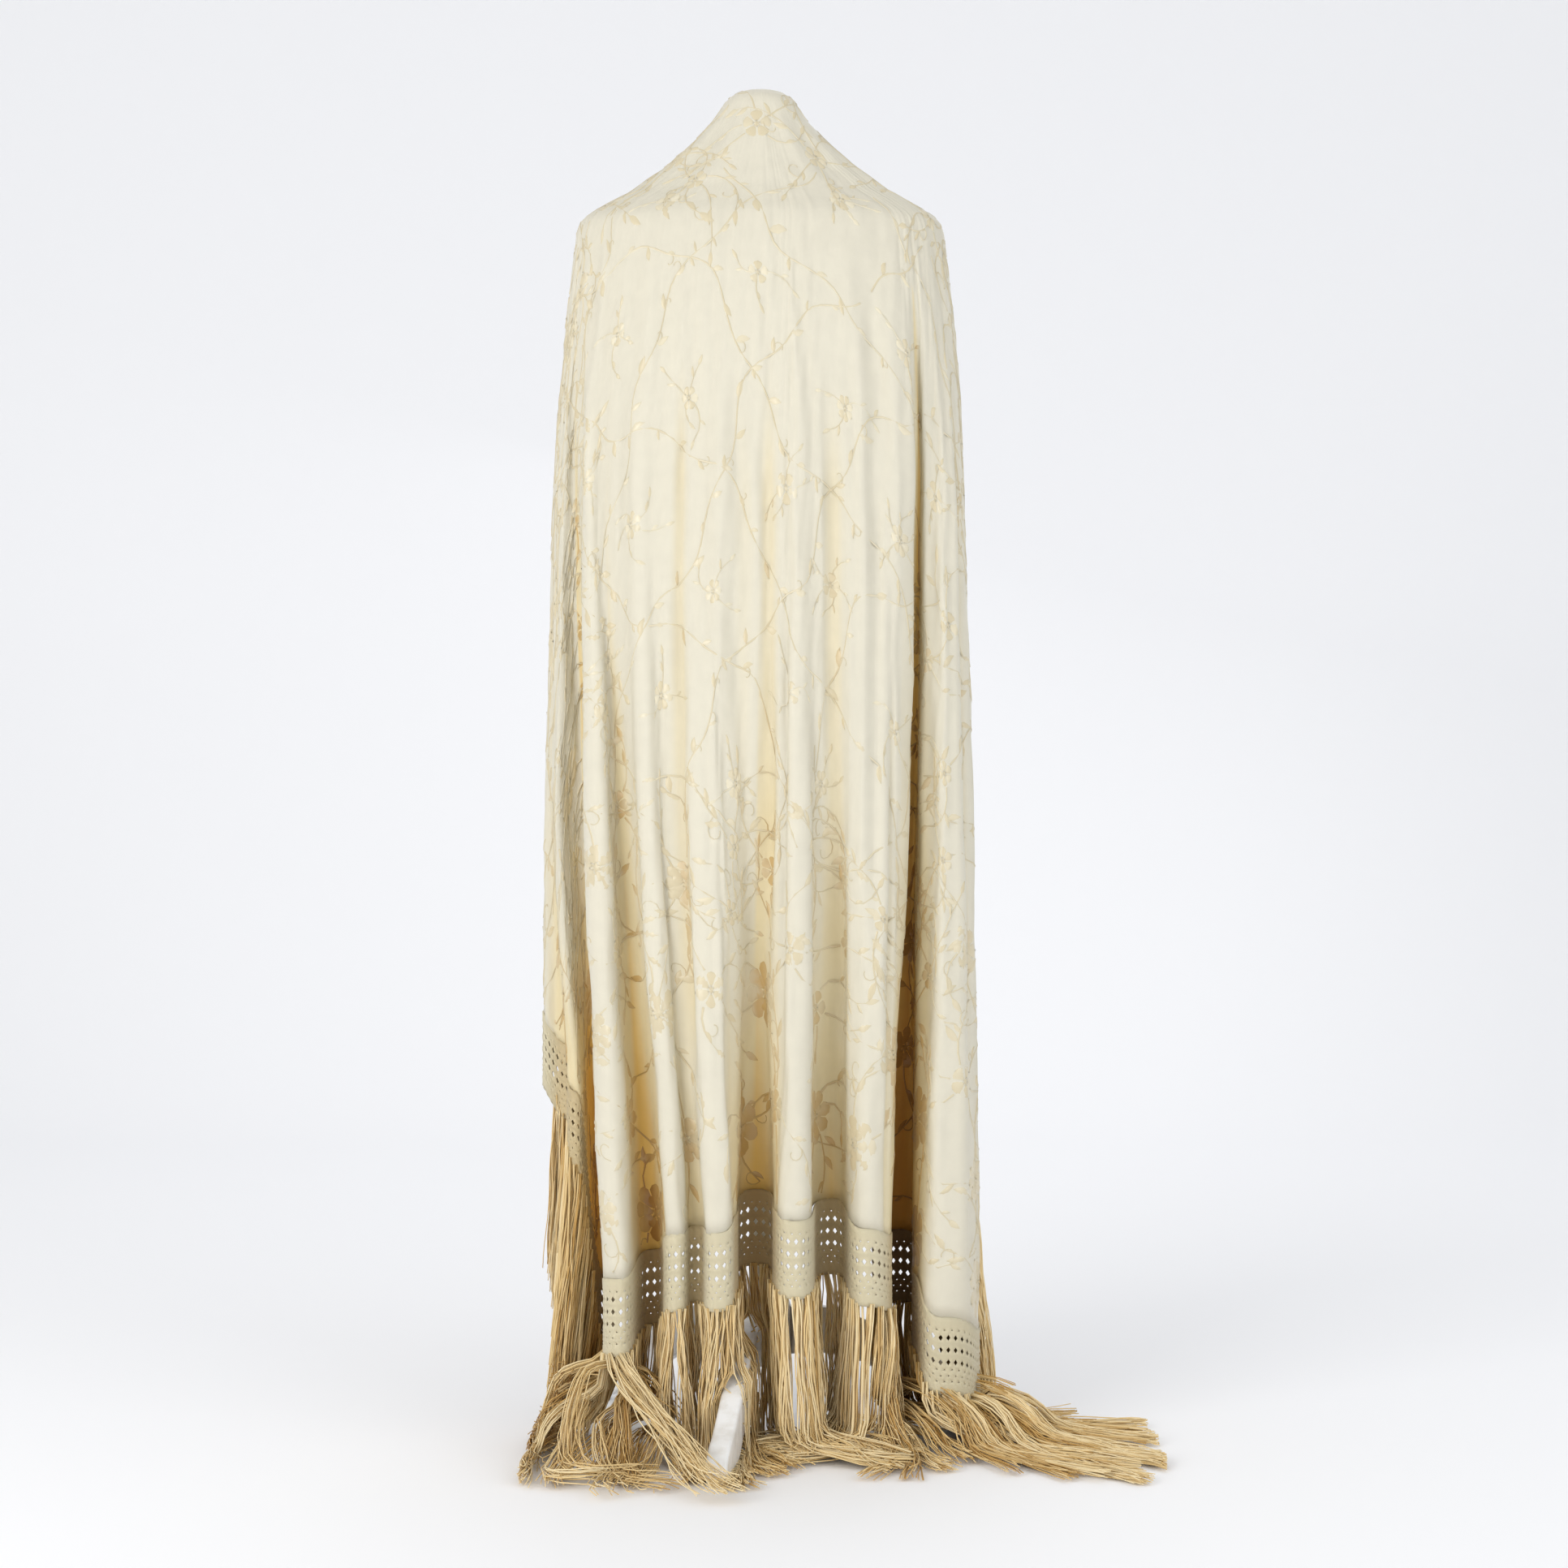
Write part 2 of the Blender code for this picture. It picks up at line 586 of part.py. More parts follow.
def dress_form(finish):
    """The limbless body and neck: rings drawn in under the cloth where it carries it."""
    inset = CLOTH_WALL / 2 + FORM_GAP
    carried = [
        (z - inset, width - inset, behind - inset, in_front - inset, centre)
        for z, width, behind, in_front, centre in DRAPE_RINGS
        if z > 1.44 or 1.29 < z < 1.32
    ]
    rings = sorted(FORM_RINGS + NECK_RINGS + carried)
    angles = [360 * i / ROUND_COLUMNS for i in range(ROUND_COLUMNS)]
    rows = [
        [oval_point(ring[1:], a).to_3d() + Vector((0, 0, ring[0])) for a in angles]
        for ring in rings
    ]
    mesh = surface_mesh("dress_form", rows, closed=True)
    bm = bmesh.new()
    bm.from_mesh(mesh)
    bm.verts.ensure_lookup_table()
    count = len(angles)
    lowest = [bm.verts[i] for i in range(count)]
    highest = [bm.verts[len(bm.verts) - count + i] for i in range(count)]
    crown = bm.verts.new((0.0, DRAPE_RINGS[0][4], TOP_Z - inset))
    for i, vert in enumerate(highest):
        bm.faces.new((crown, vert, highest[(i + 1) % count]))
    bm.faces.new(lowest)
    bmesh.ops.recalc_face_normals(bm, faces=bm.faces)
    bm.to_mesh(mesh)
    bm.free()
    mesh.shade_smooth()
    return place("dress_form", mesh, finish)


def turned(name, radius, low, high, finish, rounding):
    """An upright round piece with softened edges."""
    bpy.ops.mesh.primitive_cylinder_add(vertices=24, radius=radius, depth=high - low)
    made = bpy.context.object
    for collection in list(made.users_collection):
        collection.objects.unlink(made)
    parts.objects.link(made)
    made.name = name
    made.parent = ground
    made.location = (0, 0, (low + high) / 2)
    made.data.materials.append(finish)
    bevel = made.modifiers.new("softened edges", "BEVEL")
    bevel.width = rounding
    bevel.segments = 2
    bevel.limit_method = "ANGLE"
    return made


def leg(number, finish):
    """A flat curved leg sawn from a board, with its foot flat on the floor."""
    outline = bpy.data.curves.new(f"stand_leg_{number}", "CURVE")
    outline.dimensions = "2D"
    outline.fill_mode = "BOTH"
    outline.extrude = LEG_THICKNESS / 2
    spline = outline.splines.new("POLY")
    spline.points.add(len(LEG_OUTLINE) - 1)
    for point, (out, up) in zip(spline.points, LEG_OUTLINE):
        point.co = (out, up, 0.0, 1.0)
    spline.use_cyclic_u = True
    made = place(f"stand_leg_{number}", outline, finish)
    angle = FIRST_LEG_ANGLE + (number - 1) * 360 / LEG_COUNT
    made.rotation_euler = (math.pi / 2, 0.0, math.radians(angle))
    return made


for old in list(bpy.data.objects):
    bpy.data.objects.remove(old, do_unlink=True)
parts = bpy.data.collections.new("piano_shawl")
bpy.context.scene.collection.children.link(parts)
ground = bpy.data.objects.new("under_the_pole", None)
ground.location = (POLE_X, POLE_Y, 0.0)
parts.objects.link(ground)

silk = material("cream_silk", (0.87, 0.82, 0.68), 0.42)
knotted = material("knotted_silk", (0.70, 0.60, 0.42), 0.55)
strands = material("silk_strands", (0.66, 0.53, 0.31), 0.50)
jersey = material("white_jersey", (0.86, 0.85, 0.83), 0.85)
painted = material("white_paint", (0.90, 0.90, 0.90), 0.35)

taken = []
cloth_shoulders(silk)
for cloth_name, first_line, last_line, rows_down in CLOTH_STRETCHES:
    cloth_stretch(cloth_name, first_line, last_line, rows_down, silk)
for side_name, first_line, last_line in SIDES:
    net_heading(side_name, first_line, last_line, knotted)
    fringe(side_name, first_line, last_line, strands)
dress_form(jersey)
turned("stand_pole", POLE_RADIUS, HUB_HIGH_Z + PIECE_GAP, FORM_BASE_Z - PIECE_GAP, painted, 0.001)
turned("stand_hub", HUB_RADIUS, HUB_LOW_Z, HUB_HIGH_Z, painted, 0.004)
for leg_number in range(1, LEG_COUNT + 1):
    leg(leg_number, painted)
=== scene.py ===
"""Looks of a square silk piano shawl on a dress form: fine cloth, embroidery, knotted net and fringe."""

import math

import bmesh
import bpy
import numpy as np
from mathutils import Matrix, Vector
from mathutils.bvhtree import BVHTree
from mathutils.geometry import barycentric_transform


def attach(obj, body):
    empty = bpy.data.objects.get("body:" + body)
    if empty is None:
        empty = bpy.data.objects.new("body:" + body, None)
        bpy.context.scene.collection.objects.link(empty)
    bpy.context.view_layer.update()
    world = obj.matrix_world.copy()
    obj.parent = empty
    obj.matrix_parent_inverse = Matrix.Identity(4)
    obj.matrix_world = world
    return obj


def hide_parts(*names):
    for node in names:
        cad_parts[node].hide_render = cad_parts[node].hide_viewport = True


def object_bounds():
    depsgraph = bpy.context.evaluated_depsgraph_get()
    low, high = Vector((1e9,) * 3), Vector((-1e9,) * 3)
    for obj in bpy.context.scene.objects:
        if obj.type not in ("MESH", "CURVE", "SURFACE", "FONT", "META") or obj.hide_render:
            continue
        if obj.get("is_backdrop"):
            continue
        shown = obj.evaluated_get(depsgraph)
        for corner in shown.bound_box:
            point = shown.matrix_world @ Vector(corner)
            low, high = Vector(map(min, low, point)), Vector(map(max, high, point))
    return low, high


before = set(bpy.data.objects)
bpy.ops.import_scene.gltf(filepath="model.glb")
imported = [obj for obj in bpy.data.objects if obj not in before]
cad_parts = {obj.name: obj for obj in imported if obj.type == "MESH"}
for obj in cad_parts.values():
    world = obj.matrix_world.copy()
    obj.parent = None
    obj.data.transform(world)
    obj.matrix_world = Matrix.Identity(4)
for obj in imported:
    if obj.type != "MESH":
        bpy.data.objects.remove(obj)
cad_low, cad_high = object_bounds()

# ------------------------------------------------------------------ silk cloth
# One square of heavy silk crepe, woven and left uncut. It lies over the neck and shoulders with two
# corners behind and two in front, and hangs in folds that its own weight draws down from the shoulders.

POLE = np.array([-0.08669, 0.09782])
TOP_Z = 1.4625
SEAM_Z = 1.270
OVAL_POWER = 2.2
FOLD_FULLNESS = 1.1
LEAST_LATERAL = 0.015
FOLDS_FADE_Z = 1.235
FOLDS_FADE = 0.07
SHADE_SPREAD = 0.65
CLOTH_THICKNESS = 0.0008
SHOULDER_ROWS = 34
HANGING_ROWS = 72
BACK_COLUMNS = 13
SIDE_COLUMNS = 10
FLAT_WIDTH = 1.40
FLAT_BEHIND = 1.16
FLAT_BEFORE = 0.24

# Smooth rings: height, half width, depth behind, depth in front, centre along Y
RINGS = np.array([
    (1.4625, 0.0001, 0.0001, 0.0001, 0.012),
    (1.4600, 0.0180, 0.0180, 0.0180, 0.012),
    (1.4555, 0.0310, 0.0300, 0.0300, 0.012),
    (1.4460, 0.0400, 0.0380, 0.0380, 0.012),
    (1.4170, 0.0615, 0.0470, 0.0460, 0.011),
    (1.3730, 0.1070, 0.0580, 0.0550, 0.008),
    (1.3460, 0.1440, 0.0660, 0.0620, 0.005),
    (1.3280, 0.1770, 0.0740, 0.0680, 0.003),
    (1.3150, 0.1950, 0.0800, 0.0730, 0.000),
    (1.3000, 0.2003, 0.0860, 0.0790, 0.000),
    (1.2700, 0.2040, 0.0960, 0.0890, 0.000),
    (1.2000, 0.2115, 0.1070, 0.1130, 0.000),
    (1.1150, 0.2180, 0.1130, 0.1370, 0.000),
    (1.0000, 0.2235, 0.1200, 0.1490, 0.000),
    (0.8500, 0.2265, 0.1300, 0.1530, 0.000),
    (0.6500, 0.2295, 0.1450, 0.1560, 0.000),
    (0.4000, 0.2330, 0.1620, 0.1560, 0.000),
    (0.2000, 0.2360, 0.1720, 0.1560, 0.000),
    (0.0000, 0.2370, 0.1760, 0.1560, 0.000),
])

# Fold lines from the bottom corner on the left, across the back and round the front.
# angle: where it leaves the shoulders, 0 behind. x, y, facing: at the cloth's edge. edge: its height.
# start: height where the fold begins. ease: how slowly it deepens. shade: how much painted shade it gets,
# golden and then dark brown.
FOLDS = [
    # name, angle, x, y, facing, edge, start, ease, shade
    ("bottom_left_corner", -66, -0.170, -0.010, -12, 0.165, 1.180, 0.90, 0.92),
    ("back_ridge_1", -54, -0.146, -0.156, -12, 0.186, 1.100, 1.10, 0.00),
    ("back_valley_1", -44, -0.115, -0.088, 0, 0.206, 0.980, 1.10, 0.80),
    ("back_ridge_2", -33, -0.084, -0.160, 0, 0.234, 0.960, 1.10, 0.00),
    ("back_valley_2", -23, -0.0665, -0.132, 0, 0.238, 0.700, 1.30, 0.35),
    ("back_ridge_3", -15, -0.044, -0.184, 2, 0.238, 0.900, 1.10, 0.00),
    ("back_edge_3", -7, -0.025, -0.146, 78, 0.252, 0.700, 1.10, 0.35),
    ("back_valley_3", 0, -0.004, -0.086, 0, 0.270, 0.900, 1.50, 0.66),
    ("back_edge_4", 5, 0.017, -0.140, -78, 0.256, 0.700, 1.10, 0.30),
    ("back_ridge_4", 9, 0.037, -0.168, 0, 0.248, 0.900, 1.10, 0.00),
    ("back_valley_4", 16, 0.0765, -0.070, 0, 0.258, 0.800, 1.35, 0.52),
    ("back_ridge_5", 30, 0.112, -0.142, 4, 0.236, 0.960, 1.10, 0.00),
    ("back_edge_5", 44, 0.138, -0.112, 82, 0.226, 1.230, 0.80, 0.35),
    ("back_valley_5", 50, 0.152, 0.016, 20, 0.212, 1.240, 1.05, 1.00),
    ("back_edge_6", 55, 0.167, -0.068, -76, 0.176, 1.230, 0.80, 0.55),
    ("back_ridge_6", 63, 0.194, -0.112, 14, 0.138, 1.200, 1.00, 0.00),
    ("bottom_right_corner", 76, 0.236, -0.040, 78, 0.114, 1.180, 1.10, 0.05),
    ("right_valley_1", 86, 0.190, 0.002, 88, 0.218, 1.160, 1.10, 0.60),
    ("right_ridge_1", 96, 0.234, 0.036, 96, 0.350, 1.150, 1.25, 0.00),
    ("right_valley_2", 106, 0.186, 0.070, 108, 0.450, 1.150, 1.10, 0.60),
    ("right_ridge_2", 116, 0.222, 0.104, 118, 0.540, 1.150, 1.25, 0.00),
    ("right_valley_3", 125, 0.164, 0.112, 130, 0.620, 1.150, 1.10, 0.55),
    ("top_right_corner", 134, 0.176, 0.166, 142, 0.700, 1.180, 1.10, 0.00),
    ("front_right_valley", 143, 0.126, 0.132, 154, 0.860, 1.200, 1.10, 0.45),
    ("chest_right_ridge", 152, 0.106, 0.168, 166, 1.030, 1.240, 1.10, 0.00),
    ("chest_right_valley", 165, 0.060, 0.136, 174, 1.130, 1.250, 1.10, 0.25),
    ("chest", 180, 0.000, 0.134, 180, 1.190, 1.250, 1.00, 0.00),
    ("chest_left_valley", 196, -0.064, 0.138, 188, 1.120, 1.250, 1.10, 0.25),
    ("chest_left_ridge", 210, -0.112, 0.170, 196, 1.010, 1.240, 1.10, 0.00),
    ("front_left_valley", 221, -0.128, 0.130, 210, 0.860, 1.200, 1.10, 0.45),
    ("top_left_corner", 232, -0.178, 0.160, 224, 0.700, 1.180, 1.10, 0.00),
    ("left_valley_3", 242, -0.164, 0.104, 238, 0.640, 1.160, 1.10, 0.55),
    ("left_ridge_3", 252, -0.222, 0.082, 252, 0.570, 1.160, 1.25, 0.00),
    ("left_valley_2", 262, -0.190, 0.045, 262, 0.510, 1.160, 1.10, 0.55),
    ("left_ridge_2", 273, -0.237, 0.006, 276, 0.452, 1.150, 1.10, 0.00),
    ("left_valley_1", 281, -0.211, -0.016, 308, 0.418, 0.700, 1.00, 0.40),
    ("left_ridge_1", 288, -0.197, -0.052, 338, 0.370, 0.650, 1.00, 0.35),
    ("left_end", 294, -0.170, -0.010, 348, 0.165, 1.180, 0.90, 0.92),
]
LINE = {row[0]: i for i, row in enumerate(FOLDS)}
ANGLE, HUNG_X, HUNG_Y, FACING, EDGE, START, EASE, SHADE = np.array([row[1:] for row in FOLDS], float).T
SIDES = {
    "back": (LINE["bottom_left_corner"], LINE["bottom_right_corner"]),
    "right": (LINE["bottom_right_corner"], LINE["top_right_corner"]),
    "front": (LINE["top_right_corner"], LINE["top_left_corner"]),
    "left": (LINE["top_left_corner"], LINE["left_end"]),
}

# Small creases: column (fold line number and share), half width in columns, height, from z, to z
CREASES = [
    (1.00, 0.45, 0.0055, 1.20, 0.55),
    (3.00, 0.50, 0.0065, 1.20, 0.45),
    (4.35, 0.45, -0.0070, 1.17, 0.45),
    (5.75, 0.50, 0.0065, 1.22, 0.50),
    (7.40, 0.60, -0.0075, 1.15, 0.60),
    (9.00, 0.60, 0.0060, 1.20, 0.55),
    (10.15, 0.30, -0.0065, 1.14, 0.50),
    (10.80, 0.22, 0.0055, 1.20, 0.60),
    (12.25, 0.35, 0.0065, 1.22, 0.50),
    (1.35, 0.30, 0.0030, 0.95, 0.25),
    (2.60, 0.35, -0.0035, 0.80, 0.25),
    (3.45, 0.28, 0.0028, 0.75, 0.25),
    (5.40, 0.25, 0.0030, 0.90, 0.30),
    (6.50, 0.55, -0.0030, 1.15, 0.60),
    (8.60, 0.45, 0.0035, 1.10, 0.45),
    (9.55, 0.30, -0.0030, 0.80, 0.25),
    (10.55, 0.22, 0.0040, 1.00, 0.30),
    (11.30, 0.25, 0.0030, 1.05, 0.45),
    (11.60, 0.16, -0.0035, 0.85, 0.25),
    (15.25, 0.22, 0.0040, 1.20, 0.20),
    (15.60, 0.16, -0.0045, 1.15, 0.45),
    (15.85, 0.10, 0.0030, 0.90, 0.15),
    (17.50, 0.22, 0.0045, 1.05, 0.30),
    (18.45, 0.22, -0.0050, 0.95, 0.40),
    (20.55, 0.22, -0.0040, 1.00, 0.55),
    (22.50, 0.25, 0.0040, 1.05, 0.75),
    (24.60, 0.25, -0.0040, 1.20, 1.00),
    (26.35, 0.30, 0.0040, 1.24, 1.10),
    (27.50, 0.25, -0.0040, 1.20, 0.95),
    (29.50, 0.25, 0.0040, 1.10, 0.75),
    (31.45, 0.22, 0.0045, 1.00, 0.60),
    (33.45, 0.22, -0.0045, 1.00, 0.50),
    (34.40, 0.25, 0.0035, 0.75, 0.40),
]
NECK_WRINKLES = [
    # angle, half width in degrees, height, from z, to z
    (-40, 18, -0.0045, 1.455, 1.310),
    (-16, 14, 0.0025, 1.450, 1.330),
    (12, 12, -0.0020, 1.455, 1.350),
    (38, 17, -0.0040, 1.450, 1.310),
    (66, 9, 0.0025, 1.410, 1.300),
    (-70, 9, 0.0025, 1.410, 1.300),
    (120, 12, -0.0025, 1.440, 1.330),
    (160, 12, 0.0030, 1.450, 1.300),
    (205, 12, -0.0025, 1.450, 1.310),
    (245, 12, 0.0025, 1.430, 1.330),
]


def eased(share):
    """A share from 0 to 1 that starts and ends softly."""
    return 3 * share**2 - 2 * share**3


def unit(vectors):
    """The same directions with a length of one."""
    return vectors / np.maximum(np.linalg.norm(vectors, axis=-1, keepdims=True), 1e-9)


def run_along(points):
    """The length along a line of points, from its start to each of them."""
    return np.concatenate([[0], np.cumsum(np.linalg.norm(np.diff(points, axis=0), axis=1))])


def rounded_table(rows, count):
    """The rows of a table joined by smooth curves, as many fine rows from top to bottom."""
    slopes = np.gradient(rows, np.arange(len(rows)), axis=0)
    at = np.linspace(0, len(rows) - 1, count)
    i = np.minimum(at.astype(int), len(rows) - 2)
    s = (at - i)[:, None]
    a, b = rows[i], rows[i + 1]
    ma, mb = slopes[i], slopes[i + 1]
    fine = a + (b - a) * eased(s) + ma * (s**3 - 2 * s**2 + s) + mb * (s**3 - s**2)
    fine[:, 0] = a[:, 0] + (b[:, 0] - a[:, 0]) * s[:, 0]
    return fine


FINE_RINGS = rounded_table(RINGS, 900)


def ring_sizes(z):
    """Half width, depths and centre at each height."""
    order = FINE_RINGS[::-1]
    return [np.interp(z, order[:, 0], order[:, k]) for k in range(1, 5)]


def oval(angle, width, behind, in_front, centre):
    """Points of a rounded oval, its angle counted in degrees from straight behind."""
    turn = np.radians(angle)
    across = np.sign(np.sin(turn)) * np.abs(np.sin(turn)) ** (2 / OVAL_POWER)
    along = np.sign(np.cos(turn)) * np.abs(np.cos(turn)) ** (2 / OVAL_POWER)
    depth = np.where(along > 0, behind, in_front)
    return np.stack([width * across, centre - depth * along], axis=-1)


def oval_points(z, angle):
    """Points of the smooth rings round the form at each height."""
    return oval(angle, *ring_sizes(z))


def fold_and_share(columns):
    """The fold line before each column, and the share of the way to the next line."""
    columns = np.asarray(columns, float)
    i = np.clip(columns.astype(int), 0, len(FOLDS) - 2)
    return i, columns - i


def column_angles(columns):
    """The angle at which each column leaves the shoulders."""
    i, s = fold_and_share(columns)
    return ANGLE[i] + (ANGLE[i + 1] - ANGLE[i]) * s


def fold_places(i, z):
    """Fold lines' places and facings at each height."""
    share = np.clip((START[i] - z) / (START[i] - EDGE[i]), 0, 1) ** EASE[i]
    smooth = oval_points(z, ANGLE[i])
    hung = np.stack([HUNG_X[i], HUNG_Y[i]], axis=-1)
    return smooth + (hung - smooth) * share[..., None], ANGLE[i] + (FACING[i] - ANGLE[i]) * share


def drape(columns, z):
    """The hanging cloth at columns (fold line number and share to the next) and heights."""
    columns, z = np.broadcast_arrays(np.asarray(columns, float), np.asarray(z, float))
    i, s = fold_and_share(columns)
    start, facing_start = fold_places(i, z)
    end, facing_end = fold_places(i + 1, z)
    half = np.radians((facing_start + facing_end) / 2)
    chord = end - start
    lateral = np.abs(chord[..., 0] * np.cos(half) + chord[..., 1] * np.sin(half))
    deep = np.abs(chord[..., 0] * np.sin(half) - chord[..., 1] * np.cos(half))
    lateral = np.maximum(lateral, LEAST_LATERAL)
    pull = (lateral * (1 + 2 * FOLD_FULLNESS * deep / (deep + lateral)))[..., None]
    turns = [np.radians(f) for f in (facing_start, facing_end)]
    leave, arrive = (np.stack([np.cos(t), np.sin(t)], axis=-1) for t in turns)
    s = s[..., None]
    plan = start * (1 - eased(s)) + end * eased(s)
    plan = plan + leave * pull * (s**3 - 2 * s**2 + s) + arrive * pull * (s**3 - s**2)
    smooth = oval_points(z, column_angles(columns))
    high = np.clip((z - FOLDS_FADE_Z) / FOLDS_FADE, 0, 1)[..., None]
    plan = plan + (smooth - plan) * eased(high)
    return np.concatenate([plan + POLE, z[..., None]], axis=-1)


def edge_heights(columns):
    """The height of the cloth's edge at each column."""
    i, s = fold_and_share(columns)
    return EDGE[i] + (EDGE[i + 1] - EDGE[i]) * eased(s)


def line_shade(columns):
    """The shade at each column: deepest on a fold's inner line and soon gone beside it."""
    i, s = fold_and_share(columns)
    s = np.where(SHADE[i] > SHADE[i + 1], s**SHADE_SPREAD, 1 - (1 - s) ** SHADE_SPREAD)
    return SHADE[i] + (SHADE[i + 1] - SHADE[i]) * eased(s)


def bump(x):
    """A soft bump that is 1 at 0 and 0 from 1 on."""
    return np.where(np.abs(x) < 1, np.cos(np.clip(x, -1, 1) * math.pi / 2) ** 2, 0.0)


def grid_normals(points):
    """Outward normals of a grid of points, rows downwards and columns from the left to the right."""
    return unit(np.cross(np.gradient(points, axis=0), np.gradient(points, axis=1)))


def cloth_grid(columns):
    """The whole cloth as rows of points from the top of the neck down to its edge, with its painted fold
    shade.
    """
    i = fold_and_share(columns)[0]
    angle = column_angles(columns)
    above = FINE_RINGS[FINE_RINGS[:, 0] >= SEAM_Z]
    run = run_along(above[:, :2])
    run = np.append(run, run[-1] + above[-1, 0] - SEAM_Z)
    heights = np.append(above[:, 0], SEAM_Z)
    tops = np.interp(np.linspace(0.004, 1, SHOULDER_ROWS + 1)[:-1], run / run[-1], heights)
    levels = [np.full(len(columns), z) for z in tops]
    edges = edge_heights(columns)
    levels += [SEAM_Z + (edges - SEAM_Z) * r / HANGING_ROWS for r in range(HANGING_ROWS + 1)]
    z = np.array(levels)
    points = drape(columns[None, :], z)
    smooth = oval_points(z, np.broadcast_to(angle, z.shape)) + POLE
    points[..., :2] = np.where((z > FOLDS_FADE_Z + FOLDS_FADE)[..., None], smooth, points[..., :2])
    normals = grid_normals(points)
    raised = np.zeros(z.shape)
    for column, half, height, top, bottom in CREASES:
        fade = np.clip((top - z) / 0.14, 0, 1) * np.clip((z - bottom) / 0.10 + 0.6, 0, 1)
        raised += height * bump((columns[None, :] - column) / half) * fade
    # Painted shade in the hollows of the sunken creases, added to the fold shade
    crease_shade = np.clip(-raised / 0.006, 0, 1) * 0.15
    for centre, half, height, top, bottom in NECK_WRINKLES:
        fade = bump((z - (top + bottom) / 2) / ((top - bottom) / 2))
        raised += height * bump((angle[None, :] - centre) / half) * fade
    across, down = columns[None, :], z
    loose = np.clip((1.42 - z) / 0.20, 0.10, 1)
    raised += 0.0010 * loose * np.sin(across * 5.1 + down * 9.0) * np.sin(down * 23.0 + across * 1.7)
    raised += 0.0007 * loose * np.sin(across * 13.0 - down * 17.0) * np.sin(down * 41.0 - across * 3.1)
    points = points + normals * raised[..., None]
    # Painted shade: strongest on each fold's inner line and growing towards the hem
    share = np.clip((START[i] - z) / (START[i] - EDGE[i]), 0, 1)
    shade = line_shade(columns)[None, :]
    shade = shade * share ** (2.2 - 1.85 * shade**2)
    return points, normals, np.clip(shade + crease_shade, 0, 1)


def side_columns(side, per_line):
    """Columns along one side of the square."""
    first, last = SIDES[side]
    return np.linspace(first, last, (last - first) * per_line + 1)


def flat_places(columns):
    """Where each point of the cloth's grid lies when the square is spread out flat."""
    fine = np.linspace(0, len(FOLDS) - 1, (len(FOLDS) - 1) * 40 + 1)
    run = run_along(drape(fine, edge_heights(fine)))
    at = np.interp(columns, fine, run)
    corners = {
        "back": ((-1, -FLAT_BEHIND), (1, -FLAT_BEHIND)),
        "right": ((1, -FLAT_BEHIND), (1, FLAT_BEFORE)),
        "front": ((1, FLAT_BEFORE), (-1, FLAT_BEFORE)),
        "left": ((-1, FLAT_BEFORE), (-1, -FLAT_BEHIND)),
    }
    edge = np.zeros((len(columns), 2))
    for side, (first, last) in SIDES.items():
        here = (columns >= first) & (columns <= last)
        low, high = np.interp([first, last], fine, run)
        share = ((at[here] - low) / (high - low))[:, None]
        a, b = (np.array([x * FLAT_WIDTH / 2, y]) for x, y in corners[side])
        edge[here] = a + (b - a) * share
    turn = np.radians(column_angles(columns))
    reach = np.where(np.cos(turn) > 0, 0.225, 0.190)
    seam = np.stack([0.275 * np.sin(turn), -reach * np.cos(turn)], axis=-1)
    inner = np.linspace(0.004, 1, SHOULDER_ROWS + 1)[:-1, None, None] * seam[None]
    outer = np.linspace(0, 1, HANGING_ROWS + 1)[:, None, None]
    return np.concatenate([inner, seam[None] + (edge - seam)[None] * outer])


def principled(name, colour, roughness, **sockets):
    """A Principled material with plain values on its sockets."""
    made = bpy.data.materials.new(name)
    made.use_nodes = True
    shader = made.node_tree.nodes["Principled BSDF"]
    shader.inputs["Base Color"].default_value = (*colour, 1.0)
    shader.inputs["Roughness"].default_value = roughness
    for socket, value in sockets.items():
        shader.inputs[socket.replace("_", " ")].default_value = value
    return made


def mesh_object(name, points, faces, material, attribute=None, values=None):
    """A smooth object from points and faces, with a value for each point as an attribute."""
    mesh = bpy.data.meshes.new(name)
    mesh.from_pydata(points, [], faces)
    mesh.shade_smooth()
    mesh.materials.append(material)
    if attribute:
        mesh.attributes.new(attribute, "FLOAT", "POINT").data.foreach_set("value", values)
    made = bpy.data.objects.new(name, mesh)
    bpy.context.scene.collection.objects.link(made)
    return made


def grid_object(name, points, closed, material, attribute=None, values=None):
    """An object from a grid of points; closed joins the last column to the first."""
    rows, count = points.shape[:2]
    index = np.arange(rows * count).reshape(rows, count)
    right = np.roll(index, -1, axis=1) if closed else index[:, 1:]
    left = index if closed else index[:, :-1]
    quads = np.stack([left[:-1], left[1:], right[1:], right[:-1]], axis=-1).reshape(-1, 4)
    places = points.reshape(-1, 3).tolist()
    return mesh_object(name, places, quads.tolist(), material, attribute, values)


